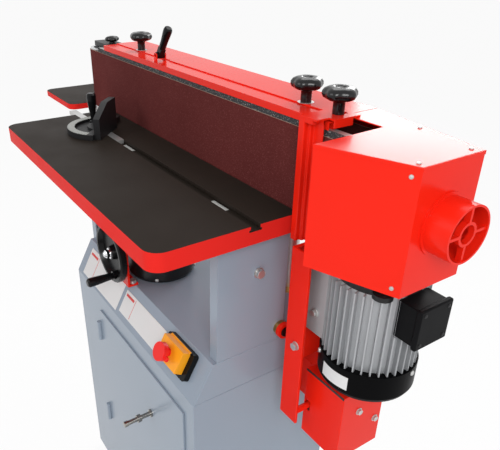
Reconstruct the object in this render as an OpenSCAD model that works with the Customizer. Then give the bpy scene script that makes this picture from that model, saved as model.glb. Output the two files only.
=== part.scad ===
// Oscillating edge sander on a cabinet stand.
// Working frame before the datum shift: X = 0 at the table's right edge,
// Y = 0 at the sanding face of the belt, Z = 0 at the table top.

/* [Belt and drums] */
// Length of the endless belt
belt_len = 2290; // [2000:10:2600]
// Width of the belt
belt_w = 150; // [100:5:200]
// Thickness of the belt
belt_t = 1.5; // [1:0.1:3]
// Belt edge below the table top
belt_drop = 12; // [8:1:20]
// Diameter of both drums
drum_d = 84; // [76:1:88]
// Drum face beyond the belt edge
drum_lip = 4; // [2:0.5:8]
// Wall of the drum rim
drum_wall = 8; // [5:1:12]
// Web thickness of the drums
drum_web = 14; // [8:1:24]
// Hub diameter of the drums
drum_hub_d = 40; // [36:1:48]
// Drive drum axis right of the table edge
drive_x = 142; // [134:1:146]
// Gap kept between belt and drum face
belt_clear = 0.3; // [0.2:0.1:0.6]
// Diameter of the idler axle
axle_d = 20; // [14:1:26]

/* [Platen and covers] */
// Thickness of the graphite pad
pad_t = 2; // [1:0.5:4]
// Thickness of the platen plate
platen_t = 6; // [4:1:10]
// Height of the platen above the belt edge
platen_rise = 10; // [5:1:14]
// Depth of the platen below the belt edge
platen_under = 4; // [2:1:10]
// Lip height of the top strip
lip_h = 12; // [8:1:20]
// Depth of the top strip
strip_d = 62; // [50:1:80]
// Left end of the top strip
strip_left = 780; // [750:5:780]
// Right end of the top strip
strip_right = 44; // [30:1:46]
// Front edge of the rear cover
cover_front = 36; // [28:1:42]
// Gap between the rear belt run and the rear cover
cover_gap = 24.5; // [22:0.5:30]
// Rear cover below the table top
cover_drop = 10; // [5:1:20]
// Right end of the rear cover
cover_right = 30; // [10:1:34]
// Thickness of the sheet covers
sheet = 2; // [1.5:0.5:3]

/* [Head frame] */
// Base plate thickness
base_t = 12; // [8:1:20]
// Base plate top below the table top
base_drop = 30; // [28:1:40]
// Base plate reach past the drive axis
base_over_drive = 56; // [50:1:70]
// Base plate reach past the idler axis
base_over_idler = 20; // [10:1:30]
// Thickness of the platen web
web_t = 6; // [4:1:10]
// Depth of the gussets behind the web
gusset_d = 50; // [30:1:56]
// Thickness of the gussets
gusset_t = 8; // [5:1:12]
// Height of the gussets
gusset_h = 120; // [60:1:140]
// Gusset stations as shares of the web length
gusset_shares = [0.2, 0.5, 0.8];
// Height and width of the carriage rails
rail_s = 10; // [6:1:12]
// Diameter of the guide rods
guide_d = 30; // [20:1:40]
// Guide column axes in from the cabinet sides
guide_in = 37; // [36:1:60]
// Lower end of the guide rods below the table top
guide_low = 250; // [230:1:260]
// Outer diameter of the guide columns
column_d = 56; // [50:1:62]
// Top of the guide columns below the table top
column_top = 190; // [170:1:210]
// Diameter of the column flanges
column_flange_d = 72; // [66:1:74]
// Thickness of the column flanges
column_flange_t = 8; // [5:1:12]
// Wall of the bronze bushes
bush_wall = 5; // [3:0.5:8]

/* [Idler carriage] */
// Carriage thickness
carriage_t = 11; // [8:1:12]
// Carriage depth
carriage_d = 52; // [46:1:56]
// Carriage reach left of the idler axis
carriage_left = 28; // [20:1:40]
// Carriage reach right of the idler axis
carriage_right = 150; // [100:5:200]
// Upright distance from the idler axis
upright_in = 60; // [56:1:64]
// Upright thickness
upright_t = 12; // [8:1:14]
// Upright depth
upright_d = 46; // [30:1:56]
// Height of the top block
block_h = 12; // [10:1:16]
// Tracking knob diameter
track_d = 38; // [30:1:42]
// Tracking knob length
track_l = 17; // [14:1:22]
// Tracking screw diameter
track_screw_d = 10; // [6:1:12]
// Tracking knob axis right of the idler axis
track_in = 43; // [30:1:46]
// Travel of the carriage
tension_travel = 10; // [6:1:10]

/* [Tension lever] */
// Lever axis left of the table edge
lever_x = 515; // [400:1:600]
// Lever axis behind the sanding face
lever_y = 22; // [18:1:26]
// Diameter of the lever hub
lever_hub_d = 15; // [13:1:18]
// Length of the lever hub
lever_hub_l = 18; // [14:1:20]
// Height of the lever axis above the strip
lever_rise = 12; // [11:1:20]
// Thickness of the lever ears
lever_ear_t = 3; // [2:0.5:5]
// Lean of the lever from upright
lever_lean = 36; // [10:1:40]
// Length of the lever arm
lever_arm = 17; // [14:1:24]
// Diameter of the lever arm
lever_arm_d = 10; // [8:1:12]
// Length of the lever grip
lever_grip_l = 58; // [40:1:66]
// Diameter of the lever grip
lever_grip_d = 19; // [16:1:24]
// Diameter of the lever pin
lever_pin_d = 8; // [6:1:10]

/* [Clamp knobs] */
// Diameter of the knob heads
knob_d = 54; // [40:1:60]
// Height of the knob heads
knob_h = 20; // [14:1:26]
// Diameter of the knob stems
knob_stem_d = 18; // [14:1:22]
// Height of the knob stems
knob_stem_h = 20; // [16:1:30]
// Diameter of the knob scallops
knob_cut_d = 26; // [16:1:30]
// Depth of the knob scallops
knob_cut_in = 3; // [1:0.5:5]
// Diameter of the knob studs
stud_d = 10; // [8:1:12]
// First cover knob left of the table edge
knob_a_x = 656; // [560:1:700]
// Second cover knob left of the table edge
knob_b_x = 59; // [40:1:120]
// Cover knobs behind the sanding face
knob_y = 46; // [44:1:54]

/* [Work stop] */
// Left side of the stop leg
stop_x = 3; // [2:0.5:6]
// Width of the stop leg
stop_w = 37; // [30:1:42]
// Width of the raised web of the leg
stop_web_w = 21; // [14:1:26]
// Front face of the stop leg
stop_y = 20; // [16:1:24]
// Gap between stop and belt
stop_gap = 4; // [3:0.5:8]
// Thickness of the stop sheet
stop_t = 3; // [2:0.5:4]
// Lower end of the stop below the table top
stop_low = 40; // [30:1:41]
// Depth of the strap behind the sanding face
stop_back = 54; // [48:1:60]
// Reach of the strap to the right
stop_reach = 50; // [48:1:56]
// Height of the turned-down strap flange
stop_flange_h = 13; // [6:1:14]
// Stop knob right of the table edge
stop_knob_x = 31; // [20:1:36]
// Stop knob behind the sanding face
stop_knob_y = 30; // [26:1:34]
// Adjusting travel of the stop
stop_travel = 12; // [6:1:14]

/* [Dust hood] */
// Front left corner of the hood to the right
hood_x0 = 111; // [100:1:125]
// Front left corner of the hood ahead of the belt
hood_y0 = 89; // [70:1:100]
// Right face of the hood
hood_x1 = 243; // [225:1:260]
// Right face front corner ahead of the belt
hood_y1 = 40; // [30:1:50]
// Right face rear corner behind the belt
hood_y2 = 76; // [76:1:90]
// Hood left end over the rear belt run
hood_arm_x = 31; // [31:1:40]
// Notch corner right of the table edge
hood_notch_x = 106; // [95:1:110]
// Notch edge behind the sanding face
hood_notch_y = 44; // [40:1:50]
// Hood bottom below the table top
hood_drop = 18; // [17:1:26]
// Outer diameter of the dust port
port_d = 80; // [60:1:100]
// Wall of the dust port
port_wall = 3; // [2:0.5:5]
// Length of the dust port
port_l = 38; // [25:1:60]
// Dust port axis behind the sanding face
port_y = 19; // [10:1:24]
// Dust port axis above the table top
port_z = 75; // [60:1:90]
// Ring diameter in the port grille as a share
port_ring_share = 0.42; // [0.3:0.02:0.6]
// Thickness of the port grille bars
port_bar = 4; // [3:0.5:6]
// Depth of the port grille bars
port_bar_l = 8; // [4:1:12]
// Collar diameter at the foot of the port
port_collar_d = 88; // [84:1:96]
// Collar thickness at the foot of the port
port_collar_t = 3; // [2:0.5:5]
// Head diameter of the hood screws
screw_d = 8; // [5:0.5:10]
// Head height of the hood screws
screw_h = 2.5; // [1.5:0.5:4]
// Inset of the hood screws from the edges
screw_in = 12; // [9:1:16]

/* [Drive motor] */
// Core diameter of the motor body
motor_core_d = 134; // [120:1:140]
// Diameter over the fins
motor_fin_d = 152; // [140:1:156]
// Number of fins
fin_n = 36; // [24:12:36]
// Thickness of the fins
fin_t = 2.4; // [1.5:0.1:4]
// Top of the motor body below the table top
motor_top = 58; // [56:1:66]
// Length of the motor body
motor_l = 140; // [120:1:160]
// Length of the motor end shield
shield_l = 12; // [8:1:12]
// Feet face to motor axis
foot_off = 110; // [108:1:116]
// Foot thickness
foot_t = 9; // [6:1:12]
// Foot hole spacing across
foot_a = 125; // [100:1:140]
// Foot hole spacing along
foot_b = 88; // [70:1:92]
// Foot width past the holes
foot_over = 9; // [6:1:9]
// Lower end of the feet below the table top
foot_low = 196; // [180:1:204]
// Lower foot bolts below the table top
foot_bolt_low = 160; // [156:1:170]
// Fan cowl diameter
cowl_d = 158; // [154:1:159]
// Fan cowl height
cowl_h = 54; // [40:1:60]
// Edge rounding of the fan cowl
cowl_r = 10; // [4:1:14]
// Cowl grille slots
cowl_slot_n = 12; // [8:1:20]
// Motor shaft diameter
shaft_d = 24; // [19:1:28]
// Fan diameter
fan_d = 120; // [90:1:136]
// Fan blade count
blade_n = 8; // [5:1:12]
// Fan blade height
blade_h = 20; // [10:1:26]
// Terminal box width
term_w = 62; // [50:1:70]
// Terminal box height
term_h = 62; // [50:1:64]
// Terminal box face right of the motor axis
term_reach = 106; // [98:1:112]
// Terminal box seat right of the motor axis
term_x0 = 64; // [62:1:68]
// Terminal lid thickness
term_lid = 9; // [5:1:12]
// Terminal box centre below the table top
term_z = 90; // [90:1:100]
// Head diameter of the machine bolts
bolt_head_d = 15; // [12:1:18]
// Head height of the machine bolts
bolt_head_h = 7; // [5:0.5:9]

/* [Motor bracket] */
// Bracket plate thickness
bracket_t = 8; // [5:1:10]
// Bracket front edge ahead of the belt
bracket_front = 28; // [26:1:34]
// Bracket lower end below the table top
bracket_low = 284; // [270:1:300]
// Pull bar width
bar_w = 44; // [30:1:50]
// Pull bar thickness
bar_t = 5; // [3:0.5:8]
// Pull bar top below the table top
bar_top = 42; // [42:1:50]
// Pull bar lower end below the table top
bar_low = 396; // [380:1:410]
// Tab height on the bracket
tab_h = 36; // [24:1:44]
// Pull bar bolt below the table top
bar_bolt_z = 225; // [218:1:232]
// Pull bar bolt from the bracket's left face
bar_bolt_x = 28; // [20:1:32]

/* [Oscillation drive] */
// Drive box left face right of the table edge
osc_x = 52; // [46:1:54]
// Drive box width
osc_w = 94; // [80:1:110]
// Drive box depth
osc_d = 103; // [80:1:110]
// Drive box top below the table top
osc_top = 290; // [286:1:300]
// Drive box height
osc_h = 150; // [140:1:170]
// Gear unit inset from the box walls
osc_in = 6; // [4:1:10]
// Gear unit height
osc_unit_h = 120; // [100:1:130]
// Drive pin below the table top
osc_pin_z = 372; // [360:1:380]
// Drive pin diameter
osc_pin_d = 12; // [8:1:12]
// Drive pin from the box's left face
osc_pin_in = 9; // [9:0.5:10]
// Drive pin depth inside the box
osc_pin_l = 30; // [20:1:40]
// Stroke of the head
osc_stroke = 6; // [4:1:8]
// Arm depth between cabinet and drive box
arm_d = 35; // [25:1:40]
// Arm height between cabinet and drive box
arm_h = 90; // [60:1:100]

/* [Cabinet] */
// Table top above the floor
table_h = 980; // [900:5:1000]
// Cabinet width
cab_w = 575; // [540:5:600]
// Cabinet depth
cab_d = 340; // [320:5:400]
// Cabinet right face left of the table edge
cab_right = 28; // [26:1:34]
// Cabinet front face ahead of the belt
cab_front = 193; // [180:1:200]
// Deck below the table top
deck_drop = 273; // [268:1:280]
// Foot of the sloped panel below the table top
slope_drop = 350; // [340:1:370]
// Run of the sloped panel
slope_run = 42; // [30:1:60]
// Levelling foot height
foot_h = 24; // [16:1:40]
// Levelling foot diameter
foot_d = 48; // [36:1:60]
// Levelling foot inset
foot_in = 40; // [32:1:60]
// Levelling stud diameter
foot_stud_d = 12; // [10:1:16]
// Door width
door_w = 400; // [340:1:440]
// Door height
door_h = 420; // [360:5:460]
// Door right edge from the cabinet side
door_in = 34; // [24:1:40]
// Door top below the slope foot
door_drop = 43; // [30:1:60]
// Door overlap on the opening
door_lap = 10; // [6:1:14]
// Door thickness
door_t = 3.5; // [2:0.5:5]
// Hinge pin diameter
hinge_pin_d = 6; // [4:0.5:8]
// Hinge knuckle diameter
knuckle_d = 12; // [10:0.5:14]
// Hinge knuckle length
knuckle_l = 40; // [30:1:60]
// Hinge stations as shares of the door height
hinge_shares = [0.18, 0.82];
// Door pull left of the table edge
pull_x = 204; // [180:1:220]
// Door pull below the table top
pull_z = 510; // [480:1:540]
// Door pull diameter
pull_d = 10; // [8:1:14]
// Door pull length
pull_l = 60; // [40:1:80]
// Door pull collar diameter
pull_nut_d = 17; // [14:1:22]

/* [Risers] */
// Riser depth
riser_d = 148; // [130:1:150]
// Riser front face ahead of the belt
riser_front = 143; // [138:1:146]
// Riser width
riser_w = 23; // [20:1:26]
// Riser top below the table top
riser_top = 38; // [36:1:42]
// Riser sheet thickness
riser_t = 3; // [2:0.5:4]
// Guide bolt ahead of the belt
guide_bolt_y = 59; // [50:1:70]
// Guide bolt below the table top
guide_bolt_z = 110; // [106:1:116]
// Guide bolt diameter
guide_bolt_d = 12; // [10:1:12]
// Stay stud ahead of the belt
stay_y = 4; // [4:1:9]
// Stay stud below the table top
stay_z = 246; // [244:1:252]
// Stay bush diameter
stay_bush_d = 28; // [24:1:32]
// Stay bush length
stay_bush_l = 9; // [6:1:12]
// Stay collar diameter
stay_collar_d = 31; // [28:1:36]
// Stay collar length
stay_collar_l = 9; // [6:1:12]
// Stay plug diameter
stay_plug_d = 14; // [12:1:15]

/* [Main table] */
// Table length
table_l = 765; // [700:5:800]
// Table depth
table_d = 272; // [250:1:300]
// Table edge height
table_t = 33; // [28:1:37]
// Table plate thickness
plate_t = 10; // [8:1:12]
// Table rim thickness
rim_t = 8; // [6:1:12]
// Gap between table and belt
table_gap = 3; // [2:0.5:5]
// Front corner rounding
corner_r = 28; // [16:1:40]
// Mitre slot axis ahead of the belt
slot_y = 90; // [80:1:100]
// Mitre slot width
slot_w = 19; // [16:0.5:22]
// Mitre slot depth
slot_h = 10; // [8:0.5:12]
// Undercut width of the slot
slot_under_w = 25; // [22:0.5:28]
// Undercut height of the slot
slot_under_h = 4; // [3:0.5:5]
// Rib under the slot
slot_rib = 6; // [4:1:10]
// Keeper plate length
keeper_l = 46; // [30:1:60]
// Keeper plate thickness
keeper_t = 1.5; // [1:0.5:3]
// Keeper plates left of the table edge
keeper_x = [112, 476];
// Cross rib stations as shares of the table length
rib_shares = [0.3, 0.68];
// Height of the cross ribs
rib_h = 16; // [10:1:18]
// Side plate thickness
side_t = 6; // [4:1:8]
// Side plate depth
side_d = 116; // [100:1:116]
// Side plate lower end below the table top
side_low = 200; // [190:1:210]
// Table travel
table_travel = 60; // [40:1:60]

/* [Table lift] */
// Lift axis left of the table edge
lift_x = 380; // [350:1:400]
// Lift axis ahead of the belt
lift_y = 66; // [60:1:72]
// Lift housing diameter
lift_d = 152; // [130:1:156]
// Lift housing top below the table top
lift_top = 150; // [144:1:160]
// Lift housing edge rounding
lift_r = 10; // [6:1:16]
// Lift screw diameter
lift_screw_d = 20; // [16:1:26]
// Lift screw top below the table top
lift_screw_top = 42; // [40:1:48]
// Lift nut diameter
lift_nut_d = 40; // [34:1:46]
// Lift nut lower end below the table top
lift_nut_low = 110; // [106:1:116]
// Threaded length of the lift nut
lift_nut_l = 25; // [20:1:30]
// Lift nut flange diameter
lift_flange_d = 70; // [60:1:80]
// Lift nut flange thickness
lift_flange_t = 8; // [6:1:10]
// Handwheel axis below the table top
wheel_z = 199; // [190:1:206]
// Handwheel rim plane ahead of the belt
wheel_y = 193; // [193:1:215]
// Handwheel diameter
wheel_d = 132; // [110:1:140]
// Handwheel rim width
wheel_rim = 9; // [7:1:14]
// Handwheel rim depth
wheel_rim_l = 16; // [12:1:17]
// Handwheel hub diameter
wheel_hub_d = 34; // [28:1:40]
// Handwheel hub length
wheel_hub_l = 21; // [21:1:23]
// Handwheel shaft diameter
wheel_shaft_d = 16; // [12:1:20]
// Handwheel dish set-back
wheel_dish = 4; // [3:0.5:4]
// Handwheel web thickness
wheel_web_t = 5; // [4:1:8]
// Hub nut diameter
hub_nut_d = 18; // [14:1:24]
// Hub nut length
hub_nut_l = 14; // [8:1:20]
// Crank grip radius on the wheel
grip_r = 50; // [40:1:52]
// Crank grip angle on the wheel
grip_angle = -72; // [-180:1:180]
// Crank grip diameter
grip_d = 20; // [16:1:24]
// Crank grip length
grip_l = 58; // [45:1:80]
// Crank grip pin diameter
grip_pin_d = 8; // [6:1:10]
// Lift bracket width
lift_plate_w = 78; // [60:1:84]
// Lift bracket thickness
lift_plate_t = 5; // [4:1:6]
// Lift bracket front face ahead of the belt
lift_plate_y = 169; // [166:1:172]
// Lift bracket foot depth
lift_foot_d = 24; // [16:1:25]
// Lift bracket top above the shaft
lift_plate_over = 20; // [14:1:30]

/* [Switch] */
// Switch base width
switch_w = 94; // [80:1:100]
// Switch base height
switch_h = 56; // [46:1:60]
// Switch base thickness
switch_t = 12; // [8:1:16]
// Switch right edge from the cabinet side
switch_in = 40; // [36:1:60]
// Switch base above the slope foot
switch_up = 24; // [18:1:26]
// Flap width
flap_w = 72; // [60:1:74]
// Flap height
flap_h = 44; // [36:1:46]
// Flap thickness
flap_t = 18; // [14:1:22]
// Flap wall
flap_wall = 2.5; // [2:0.5:4]
// Stop button place across the flap as a share
button_share = 0.45; // [0.4:0.01:0.6]
// Stop button diameter
button_d = 36; // [28:1:40]
// Stop button height
button_h = 11; // [8:1:14]
// Stop button stem diameter
button_stem_d = 16; // [12:1:20]
// Stop button stem height
button_stem_h = 12; // [8:1:16]
// Stop button travel
button_travel = 4; // [3:0.5:6]
// Start button diameter
start_d = 16; // [12:1:20]
// Start button height
start_h = 5; // [3:0.5:7]

/* [End table] */
// End table length
aux_l = 217; // [180:1:240]
// End table depth
aux_d = 240; // [220:1:270]
// End table thickness
aux_t = 15; // [12:1:18]
// End table right edge left of the main table's right edge
aux_right = 866; // [862:1:880]
// End table corner rounding
aux_r = 22; // [12:1:30]
// Gap around the idler drum
aux_gap = 8; // [6:1:12]
// Post diameter
post_d = 35; // [28:1:40]
// Post in from the end table's right edge
post_in = 124; // [109:1:144]
// Post lower end below the table top
post_low = 250; // [240:1:258]
// Sleeve diameter
sleeve_d = 56; // [50:1:62]
// Sleeve top below the table top
sleeve_top = 192; // [188:1:200]
// Sleeve length
sleeve_l = 72; // [60:1:80]
// Arm section
aux_arm_s = 40; // [30:1:50]
// Foot plate thickness of the arm
arm_plate = 8; // [5:1:12]
// Lock knob diameter
lock_d = 36; // [30:1:44]
// Lock knob length
lock_l = 20; // [14:1:26]

/* [Mitre gauge] */
// Pivot in from the table's left end
mitre_in = 165; // [130:1:205]
// Bar length
mitre_bar_l = 300; // [220:5:400]
// Bar reach ahead of the pivot
mitre_bar_front = 90; // [60:5:140]
// Base plate thickness
mitre_t = 12; // [8:1:14]
// Base plate radius
mitre_r = 84; // [72:1:86]
// Arc slot radius
mitre_slot_r = 52; // [44:1:58]
// Arc window width
mitre_window = 28; // [20:1:32]
// Turn of the head from square
mitre_turn = 45; // [0:5:60]
// Fence set ahead of the pivot
fence_off = 8; // [8:1:18]
// Fence thickness
fence_t = 15; // [8:1:18]
// Fence length ahead of the pivot
fence_front = 75; // [60:1:78]
// Fence length behind the pivot
fence_rear = 26; // [20:1:40]
// Start of the full height ahead of the pivot
fence_mid = 22; // [10:1:40]
// Fence height
fence_h = 72; // [50:1:80]
// Fence end height
fence_low_h = 46; // [30:1:60]
// Handle diameter
handle_d = 22; // [18:1:26]
// Turn of the handle round the arc slot
handle_turn = 40; // [0:5:50]
// Handle height
handle_h = 70; // [40:1:76]
// Pivot pin diameter
pivot_d = 10; // [8:1:12]

/* [Hidden] */
$fn = 48;
over = 1;
gap = 0.4;
run_fit = 0.05;
clear = 2;
drum_r = drum_d / 2;
belt_ri = drum_r + belt_clear;
belt_ro = belt_ri + belt_t;
axis_y = belt_ro;
centre_dist = (belt_len - PI * (drum_d + belt_t)) / 2;
idler_x = drive_x - centre_dist;
belt_z0 = -belt_drop;
belt_z1 = belt_w - belt_drop;
drum_z0 = belt_z0 - drum_lip;
drum_z1 = belt_z1 + drum_lip;
pad_y = belt_t;
platen_y = pad_y + pad_t;
web_y = platen_y + platen_t;
platen_z0 = belt_z0 - platen_under;
platen_z1 = belt_z1 + platen_rise;
web_back = web_y + web_t;
drum_in = sqrt(pow(drum_r + clear, 2) - pow(axis_y - web_back, 2));
platen_x0 = idler_x + tension_travel + drum_in;
platen_x1 = drive_x - drum_in;
strip_z = platen_z1 + lip_h;
cover_z = strip_z + sheet;
cover_back = 2 * belt_ro + cover_gap;
cover_y = cover_back + sheet;
base_z1 = -base_drop;
base_z0 = base_z1 - base_t;
riser_y0 = -riser_front;
riser_y1 = riser_y0 + riser_d;
base_y0 = riser_y1 + clear;
base_y1 = 2 * axis_y - base_y0;
carriage_z0 = base_z1 + gap;
carriage_z1 = carriage_z0 + carriage_t;
block_z0 = drum_z1 + clear;
block_z1 = block_z0 + block_h;
track_x = idler_x + track_in;
upright_x0 = idler_x + upright_in;
upright_x1 = upright_x0 + upright_t;
lever_z = strip_z + lever_rise;
knob_z = cover_z;
strap_z0 = cover_z + gap;
strap_z1 = strap_z0 + stop_t;
strap_x1 = stop_x + stop_reach;
hood_z0 = -hood_drop;
hood_pts = [[hood_x0, -hood_y0], [hood_x1, -hood_y1], [hood_x1, hood_y2],
  [hood_arm_x, cover_y], [hood_arm_x, hood_notch_y], [hood_notch_x, hood_notch_y]];
motor_z1 = -motor_top;
motor_z0 = motor_z1 - motor_l;
feet_x = drive_x - foot_off;
bracket_x0 = feet_x - bracket_t;
cowl_z1 = motor_z0;
cowl_z0 = cowl_z1 - cowl_h;
osc_z1 = -osc_top;
osc_z0 = osc_z1 - osc_h;
osc_pin_x = osc_x + osc_pin_in;
cab_x1 = -cab_right;
cab_x0 = cab_x1 - cab_w;
guide_x = [cab_x1 - guide_in, cab_x0 + guide_in];
cab_y0 = -cab_front;
cab_y1 = cab_y0 + cab_d;
floor_z = -table_h;
cab_z0 = floor_z + foot_h;
deck_z = -deck_drop;
slope_z = -slope_drop;
slope_tilt = atan2(deck_z - slope_z, slope_run);
door_x1 = cab_x1 - door_in;
door_x0 = door_x1 - door_w;
door_z1 = slope_z - door_drop;
door_z0 = door_z1 - door_h;
door_y1 = cab_y0 - gap;
door_y0 = door_y1 - door_t;
pin_x = door_x0 - knuckle_d / 2;
pin_y = cab_y0 - knuckle_d / 2 - gap;
table_x0 = -table_l;
mitre_x = table_x0 + mitre_in;
table_y1 = -table_gap;
table_y0 = table_y1 - table_d;
side_y0 = table_y1 - rim_t - clear - side_d;
lift_c = [-lift_x, -lift_y];
wheel_c = [-lift_x, -wheel_y, -wheel_z];
wheel_back = wheel_rim_l + wheel_dish;
grip_x = -lift_x + grip_r * cos(grip_angle);
grip_z = -wheel_z + grip_r * sin(grip_angle);
switch_x1 = cab_x1 - switch_in;
switch_x0 = switch_x1 - switch_w;
flap_x0 = switch_x0 + (switch_w - flap_w) / 2;
flap_y1 = switch_up + switch_h - clear;
flap_y0 = flap_y1 - flap_h;
button_x = flap_x0 + flap_w * button_share;
button_y = (flap_y0 + flap_y1) / 2;
aux_x1 = min(-aux_right, table_x0 - aux_gap);
aux_x0 = aux_x1 - aux_l;
post_x = aux_x1 - post_in;
aux_y0 = axis_y - aux_d / 2;
aux_y1 = axis_y + aux_d / 2;
port_end = hood_x1 + port_l;
grip_end = wheel_y + gap + grip_l;
datum_x = -(aux_x0 + port_end) / 2;
front_reach = max(grip_end, -table_y0);
datum_y = -(aux_y1 - front_reach) / 2;
lock_z = -sleeve_top - sleeve_l / 2;
slot_half = slot_w / 2;
slot_rib_half = slot_under_w / 2 + slot_rib;
slot_rib_z = -slot_h - keeper_t - slot_rib;
foot_y = foot_a / 2 + foot_over;
bar_y = -bracket_front;
bar_half = slot_half - gap;

paint_red = [0.86, 0.12, 0.08];
paint_grey = [0.6, 0.65, 0.7];
table_dark = [0.16, 0.15, 0.14];
belt_brown = [0.36, 0.16, 0.15];
black = [0.08, 0.08, 0.08];
steel = [0.66, 0.67, 0.68];
bright = [0.8, 0.8, 0.82];
alloy = [0.75, 0.76, 0.77];
brass = [0.72, 0.58, 0.32];
yellow = [0.95, 0.72, 0.1];
green = [0.1, 0.5, 0.2];
graphite = [0.2, 0.2, 0.21];

module at_datum() {
  translate([datum_x, datum_y, table_h])
    children();
}

module box(lo, hi) {
  translate(lo)
    cube(hi - lo);
}

module rod_z(p, r, h) {
  translate(p)
    cylinder(r = r, h = h);
}

module rod_x(p, r, h) {
  translate(p)
    rotate([0, 90, 0])
      cylinder(r = r, h = h);
}

module rod_y(p, r, h) {
  translate(p)
    rotate([-90, 0, 0])
      cylinder(r = r, h = h);
}

// Plate with rounded upright edges, front radius rf and rear radius rr.
module slab(lo, hi, rf, rr) {
  h = hi[2] - lo[2];
  box([lo[0] + rf, lo[1], lo[2]], [hi[0] - rf, lo[1] + rf, hi[2]]);
  box([lo[0], lo[1] + rf, lo[2]], [hi[0], hi[1] - rr, hi[2]]);
  box([lo[0] + rr, hi[1] - rr, lo[2]], [hi[0] - rr, hi[1], hi[2]]);
  for (x = [lo[0] + rf, hi[0] - rf])
    rod_z([x, lo[1] + rf, lo[2]], rf, h);
  for (x = [lo[0] + rr, hi[0] - rr])
    rod_z([x, hi[1] - rr, lo[2]], rr, h);
}

// Step of length t to the left of the line from a to b.
function left_of(a, b, t) = [a[1] - b[1], b[0] - a[0]] * t / norm(b - a);

// Crossing of the lines a-b and b-c, both moved t to their left.
function inner_corner(a, b, c, t) =
  let (u = b - a, v = c - b, p = a + left_of(a, b, t), q = b + left_of(b, c, t), w = q - p)
  p + u * (w[0] * v[1] - w[1] * v[0]) / (u[0] * v[1] - u[1] * v[0]);

// Stadium round both drums.
module loop(r, z0, z1) {
  rod_z([drive_x, axis_y, z0], r, z1 - z0);
  rod_z([idler_x, axis_y, z0], r, z1 - z0);
  box([idler_x, axis_y - r, z0], [drive_x, axis_y + r, z1]);
}

// Local frame of the sloped panel: X along the cabinet, Y up the slope, Z outward.
module on_slope() {
  translate([0, cab_y0, slope_z])
    rotate([slope_tilt, 0, 0])
      children();
}

// Lobed knob with its stem foot at the origin and the head above.
module lobed_knob(d, h, stem_d, stem_h) {
  r = d / 2;
  edge = h / 4;
  cut_r = knob_cut_d * d / knob_d / 2;
  cut_in = knob_cut_in * d / knob_d;
  difference() {
    union() {
      cylinder(r = stem_d / 2, h = stem_h + edge);
      translate([0, 0, stem_h])
        rotate_extrude()
          polygon([[0, 0], [r - h / 2, 0], [r - edge, edge], [r, h / 2],
            [r - edge / 2, h - edge], [r - h / 2, h], [0, h]]);
    }
    for (a = [0:90:270])
      rotate([0, 0, a + 45])
        rod_z([r + cut_r - cut_in, 0, stem_h - over], cut_r, h + 2 * over);
    translate([0, 0, stem_h + h - edge])
      cylinder(r = stem_d / 2 - edge / 2, h = edge + over);
  }
}

module cabinet() {
  color(paint_grey) at_datum() difference() {
    box([cab_x0, cab_y0, cab_z0], [cab_x1, cab_y1, slope_z]);
    box([cab_x0 + sheet, cab_y0 + sheet, cab_z0 + sheet],
      [cab_x1 - sheet, cab_y1 - sheet, slope_z + over]);
    box([door_x0 + door_lap, cab_y0 - over, door_z0 + door_lap],
      [door_x1 - door_lap, cab_y0 + sheet + over, door_z1 - door_lap]);
  }
}

// Side outline of the console in Y and Z.
module console_profile() {
  polygon([[cab_y0, slope_z], [cab_y0 + slope_run, deck_z], [cab_y1, deck_z], [cab_y1, slope_z]]);
}

// Side outline of the hollow under the console sheet.
module console_hollow() {
  y0 = cab_y0 + 2 * sheet;
  polygon([[y0, slope_z - over], [y0, slope_z], [y0 + slope_run, deck_z - sheet],
    [cab_y1 - sheet, deck_z - sheet], [cab_y1 - sheet, slope_z - over]]);
}

module console() {
  color(paint_grey) at_datum() difference() {
    translate([cab_x0, 0, 0])
      rotate([90, 0, 90])
        linear_extrude(cab_w)
          console_profile();
    translate([cab_x0 + sheet, 0, 0])
      rotate([90, 0, 90])
        linear_extrude(cab_w - 2 * sheet)
          console_hollow();
  }
}

module levelling_feet() {
  color(black) at_datum()
    for (x = [cab_x0 + foot_in, cab_x1 - foot_in], y = [cab_y0 + foot_in, cab_y1 - foot_in]) {
      rod_z([x, y, floor_z], foot_d / 2, foot_h / 2);
      rod_z([x, y, floor_z], foot_stud_d / 2, foot_h);
    }
}

module cabinet_door() {
  color(paint_grey) at_datum() difference() {
    union() {
      box([door_x0, door_y0, door_z0], [door_x1, door_y1, door_z1]);
      for (s = hinge_shares) {
        box([pin_x, door_y0, door_z0 + s * door_h], [door_x0 + door_t, door_y1,
          door_z0 + s * door_h + knuckle_l]);
        rod_z([pin_x, pin_y, door_z0 + s * door_h], knuckle_d / 2, knuckle_l);
      }
    }
    for (s = hinge_shares)
      rod_z([pin_x, pin_y, door_z0 + s * door_h - over], hinge_pin_d / 2 + run_fit,
        knuckle_l + 2 * over);
  }
}

module hinge_pins() {
  color(steel) at_datum()
    for (s = hinge_shares) {
      z = door_z0 + s * door_h;
      rod_z([pin_x, pin_y, z - knuckle_d], hinge_pin_d / 2, knuckle_l + knuckle_d);
      rod_z([pin_x, pin_y, z - gap - knuckle_d], knuckle_d / 2, knuckle_d);
      box([pin_x - knuckle_d / 2, pin_y, z - gap - knuckle_d], [pin_x, cab_y0, z - gap]);
    }
}

module door_pull() {
  nut = pull_nut_d / 2;
  color(bright) at_datum() {
    rod_y([-pull_x, door_y0 - pull_l, -pull_z], pull_d / 2, pull_l);
    rod_y([-pull_x, door_y0 - pull_l / 2 - nut / 2, -pull_z], nut, nut);
    rod_y([-pull_x, door_y0 - pull_l - nut / 2, -pull_z], nut * 3 / 4, nut);
    rod_y([-pull_x, door_y0 - nut / 2, -pull_z], nut, nut / 2);
  }
}

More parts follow.
